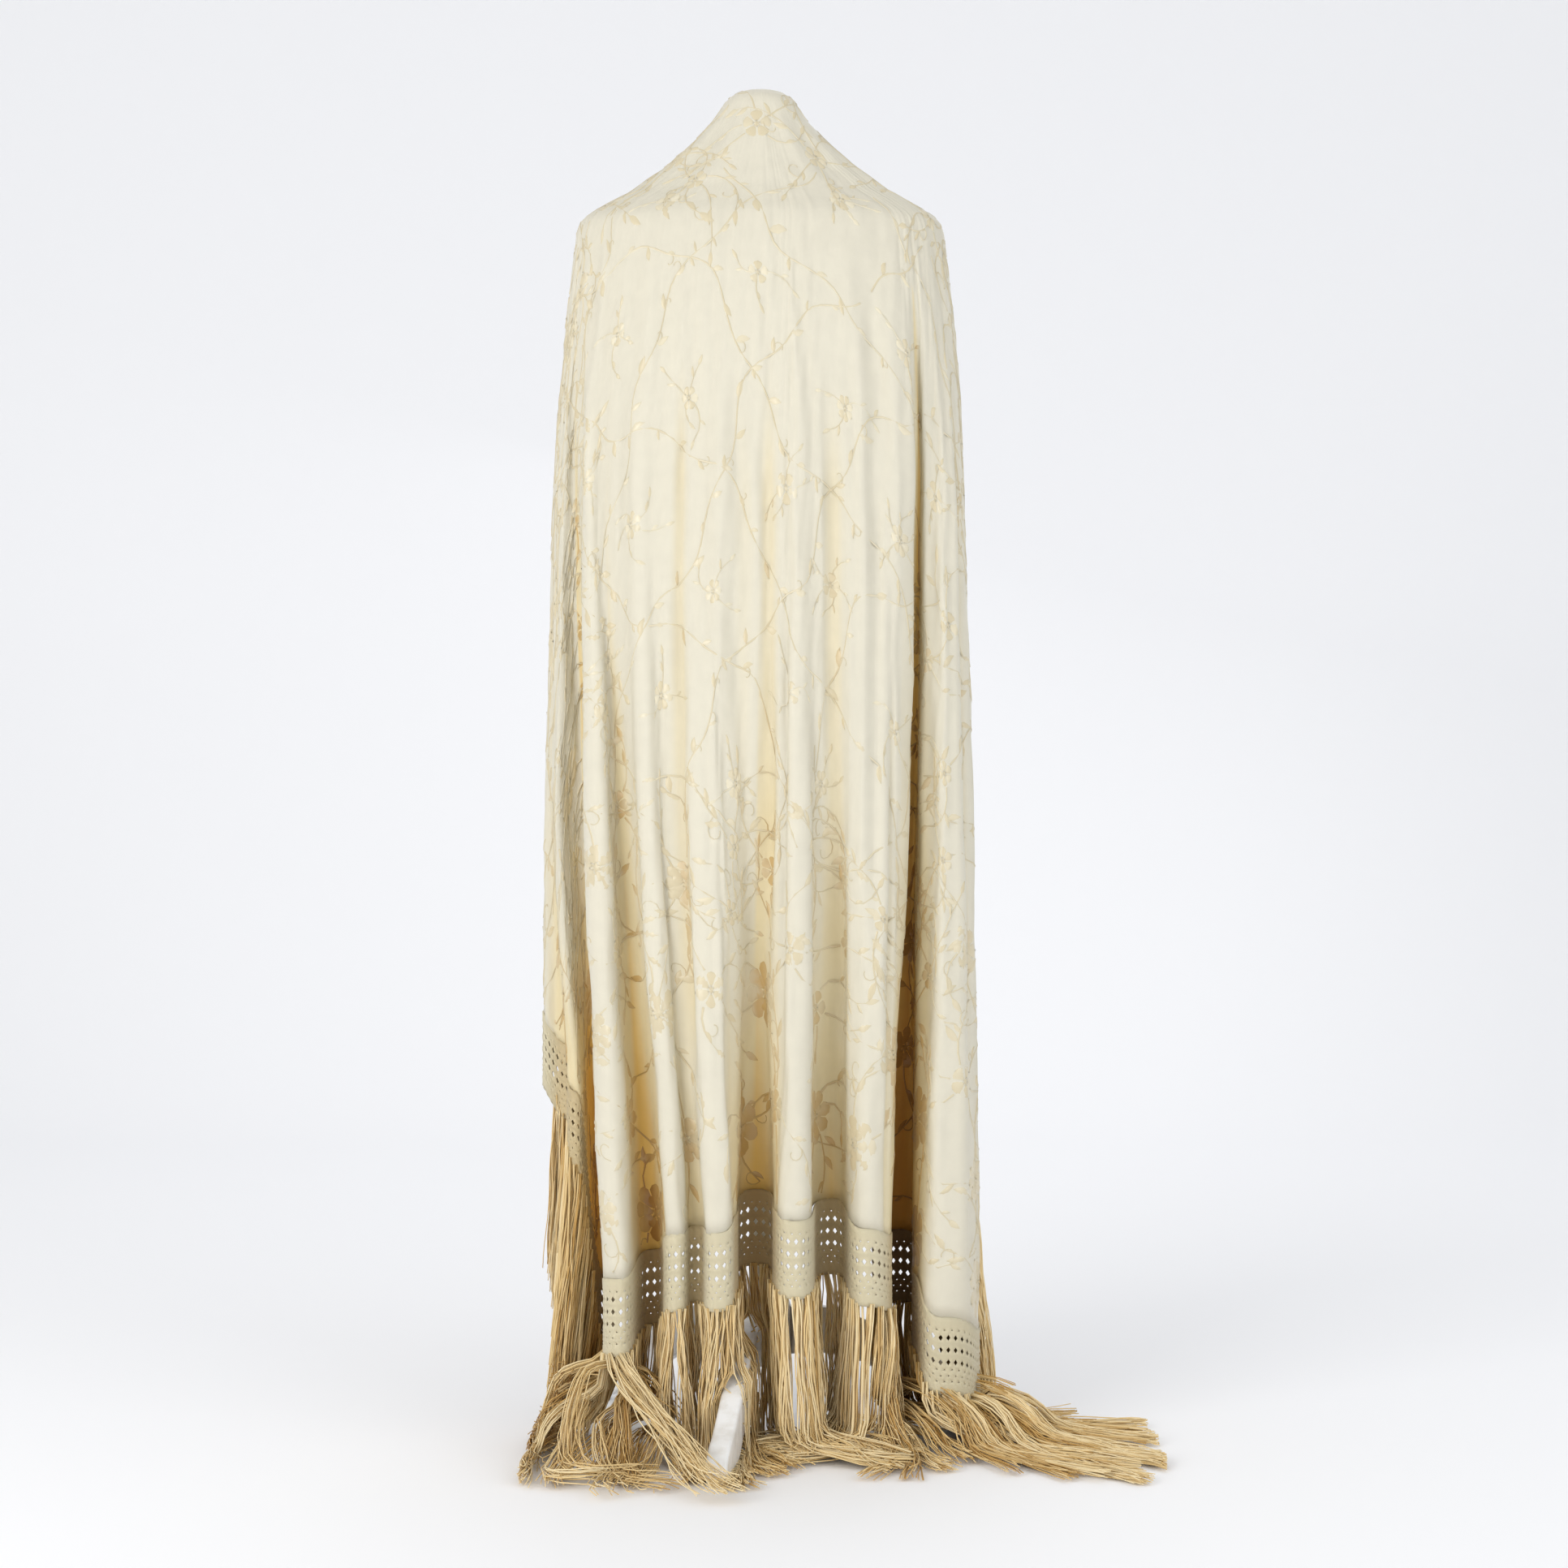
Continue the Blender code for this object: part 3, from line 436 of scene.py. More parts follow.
def weave_group():
    """Shader group: the fine crossing threads of a woven or knitted cloth, as a height and a tint."""
    group = bpy.data.node_groups.new("fine_threads", "ShaderNodeTree")
    for name, kind in (("Coordinates", "NodeSocketVector"), ("Threads per metre", "NodeSocketFloat"),
                       ("Unevenness", "NodeSocketFloat")):
        group.interface.new_socket(name, in_out="INPUT", socket_type=kind)
    for name in ("Height", "Tint"):
        group.interface.new_socket(name, in_out="OUTPUT", socket_type="NodeSocketFloat")
    nodes, links = group.nodes, group.links
    inside, outside = nodes.new("NodeGroupInput"), nodes.new("NodeGroupOutput")
    waves = []
    for axis in ("X", "Y"):
        wave = nodes.new("ShaderNodeTexWave")
        wave.bands_direction = axis
        wave.inputs["Distortion"].default_value = 1.2
        wave.inputs["Detail"].default_value = 1.0
        links.new(inside.outputs["Coordinates"], wave.inputs["Vector"])
        links.new(inside.outputs["Threads per metre"], wave.inputs["Scale"])
        waves.append(wave)
    crossed = nodes.new("ShaderNodeMath")
    crossed.operation = "MAXIMUM"
    links.new(waves[0].outputs["Fac"], crossed.inputs[0])
    links.new(waves[1].outputs["Fac"], crossed.inputs[1])
    slubs = nodes.new("ShaderNodeTexNoise")
    slubs.inputs["Scale"].default_value = 60.0
    slubs.inputs["Detail"].default_value = 6.0
    links.new(inside.outputs["Coordinates"], slubs.inputs["Vector"])
    uneven = nodes.new("ShaderNodeMath")
    uneven.operation = "MULTIPLY_ADD"
    links.new(slubs.outputs["Fac"], uneven.inputs[0])
    links.new(inside.outputs["Unevenness"], uneven.inputs[1])
    links.new(crossed.outputs[0], uneven.inputs[2])
    links.new(uneven.outputs[0], outside.inputs["Height"])
    links.new(slubs.outputs["Fac"], outside.inputs["Tint"])
    return group


def add_threads(material, source, per_metre, unevenness, depth):
    """Wires the fine threads into a material's normal, read from a UV map or from the object."""
    nodes, links = material.node_tree.nodes, material.node_tree.links
    if source == "object":
        upright = nodes.new("ShaderNodeMapping")
        upright.inputs["Rotation"].default_value = [math.radians(a) for a in (90, 45, 90)]
        links.new(nodes.new("ShaderNodeTexCoord").outputs["Object"], upright.inputs["Vector"])
        where = upright.outputs["Vector"]
    else:
        uv = nodes.new("ShaderNodeUVMap")
        uv.uv_map = source
        where = uv.outputs["UV"]
    threads = nodes.new("ShaderNodeGroup")
    threads.node_tree = threads_group
    threads.inputs["Threads per metre"].default_value = per_metre
    threads.inputs["Unevenness"].default_value = unevenness
    links.new(where, threads.inputs["Coordinates"])
    relief = nodes.new("ShaderNodeBump")
    relief.inputs["Strength"].default_value = 0.5
    relief.inputs["Distance"].default_value = depth
    links.new(threads.outputs["Height"], relief.inputs["Height"])
    links.new(relief.outputs["Normal"], nodes["Principled BSDF"].inputs["Normal"])
    return threads


def shaded_colour(material, attribute, steps, threads=None):
    """Base colour from a point attribute of painted shade: pale on the ridges, painted golden and brown
    shade deep in the folds.
    """
    nodes, links = material.node_tree.nodes, material.node_tree.links
    read = nodes.new("ShaderNodeAttribute")
    read.attribute_name = attribute
    ramp = nodes.new("ShaderNodeValToRGB")
    ramp.color_ramp.interpolation = "EASE"
    while len(ramp.color_ramp.elements) < len(steps):
        ramp.color_ramp.elements.new(0.5)
    for element, (place, colour) in zip(ramp.color_ramp.elements, steps):
        element.position = place
        element.color = (*colour, 1.0)
    links.new(read.outputs["Fac"], ramp.inputs["Fac"])
    result = ramp.outputs["Color"]
    if threads:
        mottle = nodes.new("ShaderNodeMix")
        mottle.data_type = "RGBA"
        mottle.blend_type = "MULTIPLY"
        mottle.inputs["Factor"].default_value = 0.10
        links.new(result, mottle.inputs["A"])
        tint = nodes.new("ShaderNodeCombineColor")
        for socket in ("Red", "Green", "Blue"):
            links.new(threads.outputs["Tint"], tint.inputs[socket])
        links.new(tint.outputs["Color"], mottle.inputs["B"])
        result = mottle.outputs["Result"]
    links.new(result, nodes["Principled BSDF"].inputs["Base Color"])


threads_group = weave_group()
silk = principled("cream_silk_crepe", (0.86, 0.82, 0.68), 0.46, Sheen_Weight=0.05, Sheen_Roughness=0.4)
silk_threads = add_threads(silk, "flat", 620.0, 0.9, 0.0004)
# Painted shade: the base colour turns golden, then brown, deep in the folds, where the cream silk only
# lies in shade
shaded_colour(silk, "fold_shade", [
    (0.00, (0.767, 0.720, 0.583)),
    (0.30, (0.820, 0.700, 0.430)),
    (0.65, (0.860, 0.560, 0.150)),
    (1.00, (0.640, 0.300, 0.040)),
], silk_threads)

columns = np.concatenate([
    side_columns("back", BACK_COLUMNS)[:-1],
    side_columns("right", SIDE_COLUMNS)[:-1],
    side_columns("front", SIDE_COLUMNS)[:-1],
    side_columns("left", SIDE_COLUMNS)[:-1],
])
cloth_points, cloth_normals, cloth_shade = cloth_grid(columns)
cloth_flat = flat_places(columns)
cloth = grid_object("silk_cloth", cloth_points, True, silk, "fold_shade", cloth_shade.ravel())
cloth_mesh = cloth.data
uv_map = cloth_mesh.uv_layers.new(name="flat")
corner_points = np.zeros(len(cloth_mesh.loops), int)
cloth_mesh.loops.foreach_get("vertex_index", corner_points)
uv_map.data.foreach_set("uv", cloth_flat.reshape(-1, 2)[corner_points].ravel())
bm = bmesh.new()
bm.from_mesh(cloth_mesh)
bm.verts.ensure_lookup_table()
ring = [bm.verts[i] for i in range(len(columns))]
crown = bm.verts.new((POLE[0], POLE[1] + 0.012, TOP_Z))
for here, there in zip(ring, ring[1:] + ring[:1]):
    bm.faces.new((crown, here, there)).smooth = True
bm.to_mesh(cloth_mesh)
bm.free()
silk_inside = principled("cream_silk_crepe_inside", (0.77, 0.71, 0.55), 0.5, Sheen_Weight=0.05)
add_threads(silk_inside, "flat", 620.0, 0.9, 0.0004)
cloth_mesh.materials.append(silk_inside)
thickness = cloth.modifiers.new("thickness", "SOLIDIFY")
thickness.thickness = CLOTH_THICKNESS
thickness.offset = 0.0
thickness.material_offset = 1
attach(cloth, "root")
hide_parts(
    "shawl_shoulders", "shawl_back_left", "shawl_back_middle", "shawl_back_right",
    "shawl_left", "shawl_right", "shawl_front",
)

# ------------------------------------------------------------------ embroidery
# Satin stitch in silk thread of the cloth's own colour: a trellis of thin vines with a spray in each
# diamond, and a dense border of large flowers and leaves along the edges. It stands a little proud.

STITCH_HEIGHT = 0.0009
TRELLIS_PITCH = 0.200
BORDER_WIDTH = 0.37
BORDER_FLOWERS = 210
# How much darker the painted satin sheen draws a stitch, by the way its threads run
SATIN_SHEEN_SHADE = 0.12
CROSSING_Y = 0.045
embroidery = principled("satin_stitch", (0.70, 0.645, 0.50), 0.34, Sheen_Weight=0.10)
# Painted shade: the stitches turn golden and brown deep in the cloth's folds, like the cloth
shaded_colour(embroidery, "fold_shade", [
    (0.00, (0.730, 0.672, 0.515)),
    (0.20, (0.620, 0.540, 0.365)),
    (0.60, (0.530, 0.350, 0.130)),
    (1.00, (0.340, 0.165, 0.035)),
])

flat_points = cloth_flat.reshape(-1, 2)
hung_points = cloth_points.reshape(-1, 3)
hung_normals = cloth_normals.reshape(-1, 3)
hung_shade = cloth_shade.ravel()
count = len(columns)
triangles = []
for r in range(len(cloth_points) - 1):
    for c in range(count):
        a, b = r * count + c, r * count + (c + 1) % count
        triangles += [(a, a + count, b + count), (a, b + count, b)]
finder = BVHTree.FromPolygons([(x, y, 0.0) for x, y in flat_points], triangles)


def laid_on_cloth(places, heights):
    """Carries flat places to the hanging cloth, raised by heights. Gives points and the cloth's painted
    fold shades.
    """
    points, shades = [], []
    for (x, y), height in zip(places, heights):
        hit = finder.find_nearest((x, y, 0.0))
        corners = triangles[hit[2]]
        flat_corners = [Vector((*flat_points[k], 0.0)) for k in corners]
        spot = Vector((x, y, 0.0))
        hung_corners = [Vector(hung_points[k]) for k in corners]
        point = barycentric_transform(spot, *flat_corners, *hung_corners)
        up = Vector(hung_normals[corners[0]])
        points.append(point + up * (height + CLOTH_THICKNESS / 2))
        shades.append(hung_shade[corners[0]])
    return points, shades


def direction(angle):
    """The flat direction of an angle."""
    return np.stack([np.cos(angle), np.sin(angle)], axis=-1)


def curved_line(place, turn, steps):
    """A line from a place, turned and as long at each step as the values say."""
    line = np.cumsum(direction(turn) * np.reshape(steps, (-1, 1)), axis=0)
    return np.asarray(place) + line - line[0]


class Stitches:
    """Collects flat shapes of satin stitch and lays them on the cloth as one object."""

    def __init__(self):
        self.places, self.heights, self.faces, self.sheen_shades = [], [], [], []

    def ribbon(self, line, widths):
        """A rounded ribbon along a line of places, as wide at each as widths says."""
        line = np.asarray(line, float)
        along = unit(np.gradient(line, axis=0))
        across = np.stack([-along[:, 1], along[:, 0]], axis=-1)
        base = len(self.places)
        for place, side, width in zip(line, across, widths):
            for share, rise in ((-0.5, 0.0), (0.0, STITCH_HEIGHT), (0.5, 0.0)):
                self.places.append(tuple(place + side * share * width))
                self.heights.append(rise)
                # Painted sheen: each stitch is drawn lighter or darker by the way its threads run across
                # the ribbon
                self.sheen_shades.append(side[0] ** 2 * SATIN_SHEEN_SHADE)
        for k in range(len(line) - 1):
            for j in (0, 1):
                a = base + 3 * k + j
                self.faces.append((a, a + 1, a + 4, a + 3))

    def leaf(self, place, angle, length, width, bend):
        """A pointed leaf from its stalk end."""
        line = curved_line(place, angle + bend * np.linspace(0, 1, 5), length / 4)
        self.ribbon(line, width * np.array([0.12, 0.80, 1.0, 0.68, 0.04]))

    def flower(self, place, radius, petals, angle, heart=0.26):
        """A round flower of broad petals about a small heart."""
        place = np.asarray(place, float)
        for k in range(petals):
            out = direction(angle + 2 * math.pi * k / petals)
            line = [place + out * radius * r for r in (heart, 0.50, 0.78, 0.95, 1.02)]
            wide = 1.65 * radius * math.sin(math.pi / petals)
            self.ribbon(line, wide * np.array([0.24, 0.60, 0.92, 0.66, 0.12]))
        for k in range(6):
            out = direction(angle + 2 * math.pi * k / 6)
            line = [place, place + out * radius * heart * 0.5, place + out * radius * heart * 0.9]
            self.ribbon(line, radius * heart * np.array([0.5, 0.5, 0.1]))

    def tendril(self, place, angle, size, hand):
        """A thin curl."""
        t = np.linspace(0, 1, 9)
        line = curved_line(place, angle + hand * t * 4.6, size * (1.0 - 0.75 * t) / 5)
        self.ribbon(line, np.full(9, 0.0011))

    def object(self, name, material, deeper):
        """The finished stitches, lying on the cloth, with the cloth's painted fold shade and a painted
        satin sheen, their colour deeper by a share.
        """
        points, shades = laid_on_cloth(self.places, self.heights)
        shades = np.clip(np.array(shades) + np.array(self.sheen_shades) + deeper, 0, 1)
        places = [tuple(p) for p in points]
        return mesh_object(name, places, self.faces, material, "fold_shade", shades)


def branch(stitches, chance, place, angle, length, bend, leaf, thin):
    """A curved stem with leaves in pairs, drawn out to a small leaf at its tip."""
    steps = max(5, int(length / 0.012))
    t = np.linspace(0, 1, steps)
    turn = angle + bend * t
    line = curved_line(place, turn, length / steps)
    stitches.ribbon(line, np.linspace(thin * 1.3, thin * 0.7, steps))
    side = 1
    for k in range(1, steps):
        if k % 2 == 0 and k < steps - 1:
            size = leaf * chance.uniform(0.75, 1.1) * (1.0 - 0.3 * t[k])
            lean = turn[k] + side * chance.uniform(0.6, 0.95)
            stitches.leaf(line[k], lean, size, size * 0.36, -side * 0.4)
            side = -side
    stitches.leaf(line[-1], turn[-1], leaf * 0.9, leaf * 0.34, 0.2)
    return line


def in_border(x, y):
    """How far inside the border a flat place lies, from 0 at its inner line to 1 at the cloth's edge."""
    from_edge = min(FLAT_WIDTH / 2 - abs(x), y + FLAT_BEHIND, FLAT_BEFORE - y)
    return 1 - from_edge / BORDER_WIDTH


chance = np.random.default_rng(31)
trellis, sprays, border = Stitches(), Stitches(), Stitches()
for slope in (1, -1):
    for k in range(-9, 10):
        t = np.arange(-1.2, 1.2, 0.008)
        strength, lag = chance.uniform(0.014, 0.026), chance.uniform(0, 6.3)
        wave = strength * np.sin(t * 22 + lag) + 0.005 * np.sin(t * 71 + lag * 2)
        line = np.stack([t - slope * wave, CROSSING_Y + slope * t + k * TRELLIS_PITCH + wave], axis=-1)
        inside = np.array([in_border(*p) < 0.05 for p in line])
        inside &= chance.random(len(line)) < 0.997
        runs = np.flatnonzero(np.diff(np.concatenate([[0], inside.astype(int), [0]])))
        for low, high in zip(runs[::2], runs[1::2]):
            if high - low < 6:
                continue
            trellis.ribbon(line[low:high], np.full(high - low, 0.0020))
            side = 1
            for m in range(low + 3, high - 2, 3):
                angle = math.atan2(slope, 1) + side * chance.uniform(0.6, 1.2)
                size = chance.uniform(0.010, 0.021)
                trellis.leaf(line[m], angle, size, size * 0.42, -side * 0.5)
                if chance.random() < 0.22:
                    trellis.tendril(line[m], angle + side * 0.4, chance.uniform(0.018, 0.030), -side)
                side = -side
for i in range(-5, 6):
    for j in range(-8, 4):
        for shift in (0.0, TRELLIS_PITCH / 2):
            middle = np.array([i * TRELLIS_PITCH + shift, CROSSING_Y + (j + 0.5) * TRELLIS_PITCH + shift])
            middle += chance.uniform(-0.014, 0.014, 2)
            if in_border(*middle) > -0.04:
                continue
            turn = chance.uniform(0, 2 * math.pi)
            sprays.flower(middle, chance.uniform(0.011, 0.016), int(chance.integers(5, 8)), turn)
            arms = int(chance.integers(3, 6))
            for k in range(arms):
                lean = turn + 2 * math.pi * (k + chance.uniform(-0.25, 0.25)) / arms
                start = middle + 0.008 * direction(lean)
                length = chance.uniform(0.022, 0.052)
                branch(sprays, chance, start, lean, length, chance.uniform(-1.6, 1.6), 0.013, 0.0013)

placed = []
tries = 0
while tries < 5000 and len(placed) < BORDER_FLOWERS:
    tries += 1
    place = np.array([
        chance.uniform(-FLAT_WIDTH / 2 + 0.03, FLAT_WIDTH / 2 - 0.03),
        chance.uniform(-FLAT_BEHIND + 0.03, FLAT_BEFORE - 0.03),
    ])
    depth = in_border(*place)
    if depth < 0.02:
        continue
    size = chance.uniform(0.020, 0.030) if depth < 0.35 else chance.uniform(0.026, 0.042)
    if any(np.linalg.norm(place - p) < (size + s) * 1.5 for p, s in placed):
        continue
    placed.append((place, size))
for place, size in placed:
    turn = chance.uniform(0, 2 * math.pi)
    if size > 0.028:
        border.flower(place, size * 0.80, int(chance.integers(7, 10)), turn)
        border.flower(place, size * 0.48, 6, turn + 0.3, 0.30)
    else:
        border.flower(place, size * 0.62, int(chance.integers(5, 7)), turn)
    arms = int(chance.integers(4, 7))
    for k in range(arms):
        lean = turn + 2 * math.pi * (k + chance.uniform(-0.25, 0.25)) / arms
        start = place + size * 0.7 * direction(lean)
        length = chance.uniform(0.05, 0.125)
        leaf = chance.uniform(0.016, 0.026)
        line = branch(border, chance, start, lean, length, chance.uniform(-2.2, 2.2), leaf, 0.0017)
        if chance.random() < 0.5:
            side = chance.choice([-1, 1])
            border.tendril(line[len(line) // 2], lean + side * 0.7, chance.uniform(0.025, 0.045), side)

for stitches, name, deeper in (
    (trellis, "embroidered_trellis", 0.10),
    (sprays, "embroidered_sprays", 0.06),
    (border, "embroidered_border", 0.12),
):
    inside = [in_border(*p) <= 0.985 for p in stitches.places]
    stitches.faces = [f for f in stitches.faces if all(inside[v] for v in f)]
    piece = stitches.object(name, embroidery, deeper)
    bm = bmesh.new()
    bm.from_mesh(piece.data)
    bmesh.ops.delete(bm, geom=[v for v in bm.verts if not v.link_faces], context="VERTS")
    long_edges = {f for e in bm.edges if e.calc_length() > 0.03 for f in e.link_faces}
    bmesh.ops.delete(bm, geom=list(long_edges), context="FACES")
    bm.to_mesh(piece.data)
    bm.free()
    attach(piece, "root")

# ------------------------------------------------------------------ knotted net
# A heading knotted by hand from the same silk cord along all four edges: solid bands of close knots
# with rows of small open diamonds between them. The strands of the fringe are its own loose ends.

NET_DROP = 0.080
NET_PITCH = 0.0085
NET_BANDS = [
    # height of the band, how much of each cell is open
    (0.010, 0.00),
    (0.006, 0.26),
    (0.0095, 0.58),
    (0.003, 0.00),
    (0.0095, 0.58),
    (0.003, 0.00),
    (0.0095, 0.58),
    (0.006, 0.26),
    (0.006, 0.26),
    (0.006, 0.26),
    (0.010, 0.00),
]
KNOT_RISE = 0.0011
netting = principled("knotted_silk_cord", (0.62, 0.53, 0.36), 0.55, Sheen_Weight=0.15)
add_threads(netting, "object", 500.0, 0.6, 0.0006)
# Painted shade: the cord turns brown where it hangs deep in the cloth's folds
shaded_colour(netting, "fold_shade", [
    (0.00, (0.650, 0.580, 0.395)),
    (0.35, (0.580, 0.460, 0.255)),
    (0.70, (0.400, 0.265, 0.110)),
    (1.00, (0.200, 0.110, 0.035)),
])


def even_columns(side, pitch, drop, inset):
    """An even number of steps along a side's edge, from an inset at one corner to the other."""
    fine = side_columns(side, 60)
    run = run_along(drape(fine, edge_heights(fine) - drop))
    steps = 2 * round((run[-1] - 2 * inset) / pitch / 2)
    return np.interp(np.linspace(inset, run[-1] - inset, steps + 1), run, fine)


def knotted_net(side):
    """A side's net: a grid of knots, with a diamond left open in each cell of an open band."""
    columns = even_columns(side, NET_PITCH / 2, NET_DROP / 2, 0.0)
    edges = edge_heights(columns)
    drops = [0.0]
    for height, _ in NET_BANDS:
        drops += [drops[-1] + height / 2, drops[-1] + height]
    drops = np.array(drops) * (NET_DROP + 0.0012) / drops[-1] - 0.0012
    points = drape(columns[None, :], edges[None, :] - drops[:, None])
    normals = grid_normals(points)
    rise = np.zeros(points.shape[:2])
    rise[0::2, 0::2] = KNOT_RISE
    rise[1::2, 1::2] = KNOT_RISE
    rise[1::2, 0::2] = -KNOT_RISE * 0.3
    points = points + normals * rise[..., None]
    rows, count = points.shape[:2]
    verts = [tuple(p) for p in points.reshape(-1, 3)]
    # Painted shade from the cloth's folds, one value for each column
    shade = np.tile(line_shade(columns), rows).tolist()
    faces = []
    for band, (_, opened) in enumerate(NET_BANDS):
        top, mid, low = (2 * band + k for k in range(3))
        shift = band % 2
        # A band that is shifted by half a cell ends in a plain strip at both corners
        for c in (0, count - 2) if shift else ():
            for above, below in ((top, mid), (mid, low)):
                a, b = above * count + c, below * count + c
                faces.append((a, b, b + 1, a + 1))
        for c in range(shift, count - 2, 2):
            tl, tm, tr = (top * count + c + k for k in range(3))
            ml, mm, mr = (mid * count + c + k for k in range(3))
            bl, bm_, br = (low * count + c + k for k in range(3))
            if not opened:
                faces += [(tl, ml, mm, tm), (tm, mm, mr, tr), (ml, bl, bm_, mm), (mm, bm_, br, mr)]
                continue
            middle = np.array(verts[mm])
            ends = []
            for near, share in ((tm, opened * 1.15), (mr, opened), (bm_, opened * 1.15), (ml, opened)):
                verts.append(tuple(middle + (np.array(verts[near]) - middle) * share))
                shade.append(shade[mm])
                ends.append(len(verts) - 1)
            up, right, down, left = ends
            faces += [(tl, left, up, tm), (tm, up, right, tr), (tl, ml, left), (tr, right, mr)]
            faces += [(bl, bm_, down, left), (br, right, down, bm_), (ml, bl, left), (mr, right, br)]
    made = mesh_object("knotted_net_" + side, verts, faces, netting, "fold_shade", shade)
    solid = made.modifiers.new("thickness", "SOLIDIFY")
    solid.thickness = 0.0014
    solid.offset = 0.0
    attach(made, "root")
    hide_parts("net_" + side)
    return made


nets = [knotted_net(side) for side in SIDES]

# ------------------------------------------------------------------ silk fringe
# Long strands of twisted floss silk, tied off under the net in small locks. They hang nearly straight,
# spread where they meet the floor, part round the stand's foot and lie swept out from both corners.

STRAND_LENGTH = 0.262
STRAND_RADIUS = 0.00095
LOCK_PITCH = 0.0125
LOCK_STEPS = 52
FLOOR = 0.0012
LANDING = 0.022
FIRST_LEG = math.radians(-98.5)
LEG_HALF = 0.0115
LEG_TOP = np.array([
    (0.000, 0.130), (0.075, 0.127), (0.115, 0.113), (0.160, 0.090), (0.205, 0.064), (0.240, 0.045),
    (0.268, 0.034), (0.284, 0.018), (0.300, 0.000),
])

# Strands in a lock, and faces along each strand
LOCKS = {"back": (19, 15), "right": (17, 14), "front": (13, 7), "left": (24, 15)}

# Where locks drift: direction, how far they lean on the way down, turn in degrees a metre, waviness
# and how much of their length hangs straight
DRIFTS = {
    # name: (x, y, lean, turn, wave, length)
    "top_right_corner": (0.30, 0.90, 0.03, 0, 0.15, 1.00),
    "chest": (0.00, 1.00, 0.02, 0, 0.12, 1.00),
    "top_left_corner": (-0.30, 0.90, 0.03, 0, 0.15, 1.00),
    "left_ridge_2": (-0.80, 0.20, 0.06, 300, 0.40, 0.74),
    "left_ridge_1": (-0.90, -0.30, 0.10, 600, 1.20, 0.90),
    "left_end": (-1.00, -0.10, 0.35, 800, 1.60, 1.00),
    "bottom_left_corner": (-1.00, -0.25, 0.50, 900, 1.60, 1.00),
    "back_ridge_1": (-0.80, -0.60, 0.28, 600, 1.30, 1.00),
    "back_valley_1": (-0.15, -1.00, 0.12, 0, 0.35, 1.00),
    "back_ridge_2": (0.30, -1.00, 0.10, 0, 0.30, 1.00),
    "back_ridge_3": (0.10, -1.00, 0.06, 0, 0.40, 1.00),
    "back_valley_3": (0.60, -0.70, 0.04, 0, 0.45, 1.00),
    "back_ridge_4": (0.80, -0.30, 0.07, 200, 0.50, 1.00),
    "back_ridge_5": (-0.80, -0.25, 0.06, -200, 0.50, 1.00),
    "back_valley_5": (0.80, -0.40, 0.10, 0, 0.35, 1.00),
    "back_ridge_6": (0.85, -0.50, 0.45, -60, 0.30, 1.00),
    "bottom_right_corner": (0.92, -0.36, 0.85, 40, 0.28, 1.00),
    "right_valley_1": (0.96, -0.22, 0.30, -60, 0.35, 1.00),
    "right_ridge_1": (0.96, -0.10, 0.06, -150, 0.40, 1.00),
    "right_valley_2": (0.80, 0.10, 0.03, 0, 0.25, 1.00),
}

# Mounds the strands lie over: place from the pole, half sizes, height
MOUNDS = [
    (-0.168, -0.130, 0.080, 0.100, 0.100),
    (0.180, -0.070, 0.130, 0.080, 0.070),
    (0.040, -0.150, 0.120, 0.050, 0.016),
]
floss = principled("floss_silk", (0.62, 0.47, 0.24), 0.40, Sheen_Weight=0.04)
# Painted shade: strands turn golden and dark brown deep in the folds, inside each lock and in the pile on
# the floor
shaded_colour(floss, "strand_shade", [
    (0.00, (0.880, 0.715, 0.420)),
    (0.30, (0.790, 0.580, 0.270)),
    (0.65, (0.560, 0.330, 0.090)),
    (1.00, (0.240, 0.105, 0.020)),
])

# One lock lies pulled across the floor before the foot: where it starts, direction, lean
PULLED_LOCK = (LINE["back_ridge_1"], -1.06, 2.6)
ROOM_SPARE = 0.014
room_low, room_high = np.array(cad_low) - ROOM_SPARE, np.array(cad_high) + ROOM_SPARE


def drift_at(columns):
    """The drift table's values at each column, between its rows."""
    known = sorted((LINE[name], values) for name, values in DRIFTS.items())
    places = [row[0] for row in known]
    return [np.interp(columns, places, [row[1][k] for row in known]) for k in range(6)]


def mound_height(x, y):
    """How high the strands lie at a place on the floor."""
    height = np.zeros(x.shape)
    for middle_x, middle_y, half_x, half_y, top in MOUNDS:
        far = ((x - POLE[0] - middle_x) / half_x) ** 2 + ((y - POLE[1] - middle_y) / half_y) ** 2
        height = np.maximum(height, top * np.clip(1 - far, 0, 1) ** 0.8)
    return height


def part_round_leg(points):
    """Moves strands off the leg that comes out through the fringe."""
    out, across = direction(FIRST_LEG), direction(FIRST_LEG + math.pi / 2)
    plan = points[..., :2] - POLE
    reach, side = plan @ out, plan @ across
    top = np.interp(reach, LEG_TOP[:, 0], LEG_TOP[:, 1])
    near = np.clip((top + 0.010 - points[..., 2]) / 0.010, 0, 1) * (reach > 0) * (reach < 0.302)
    room, wide = LEG_HALF + 0.002, 0.034
    parted = room + np.abs(side) * (1 - room / wide)
    moved = np.where(np.abs(side) < wide, np.where(side < 0, -1, 1) * parted - side, 0.0) * near
    points[..., :2] += across * moved[..., None]
    return points


def inside_room(points):
    """Keeps strands on the floor and within the room that they lie in."""
    for axis in (0, 1):
        value = points[..., axis]
        start, soft = room_high[axis] - 0.030, 0.030
        value = np.where(value > start, start + soft - soft * np.exp((start - value) / soft), value)
        start, soft = room_low[axis] + 0.060, 0.060
        value = np.where(value < start, start - soft + soft * np.exp((value - start) / soft), value)
        points[..., axis] = value
    points[..., 2] = np.maximum(points[..., 2], FLOOR)
    return points


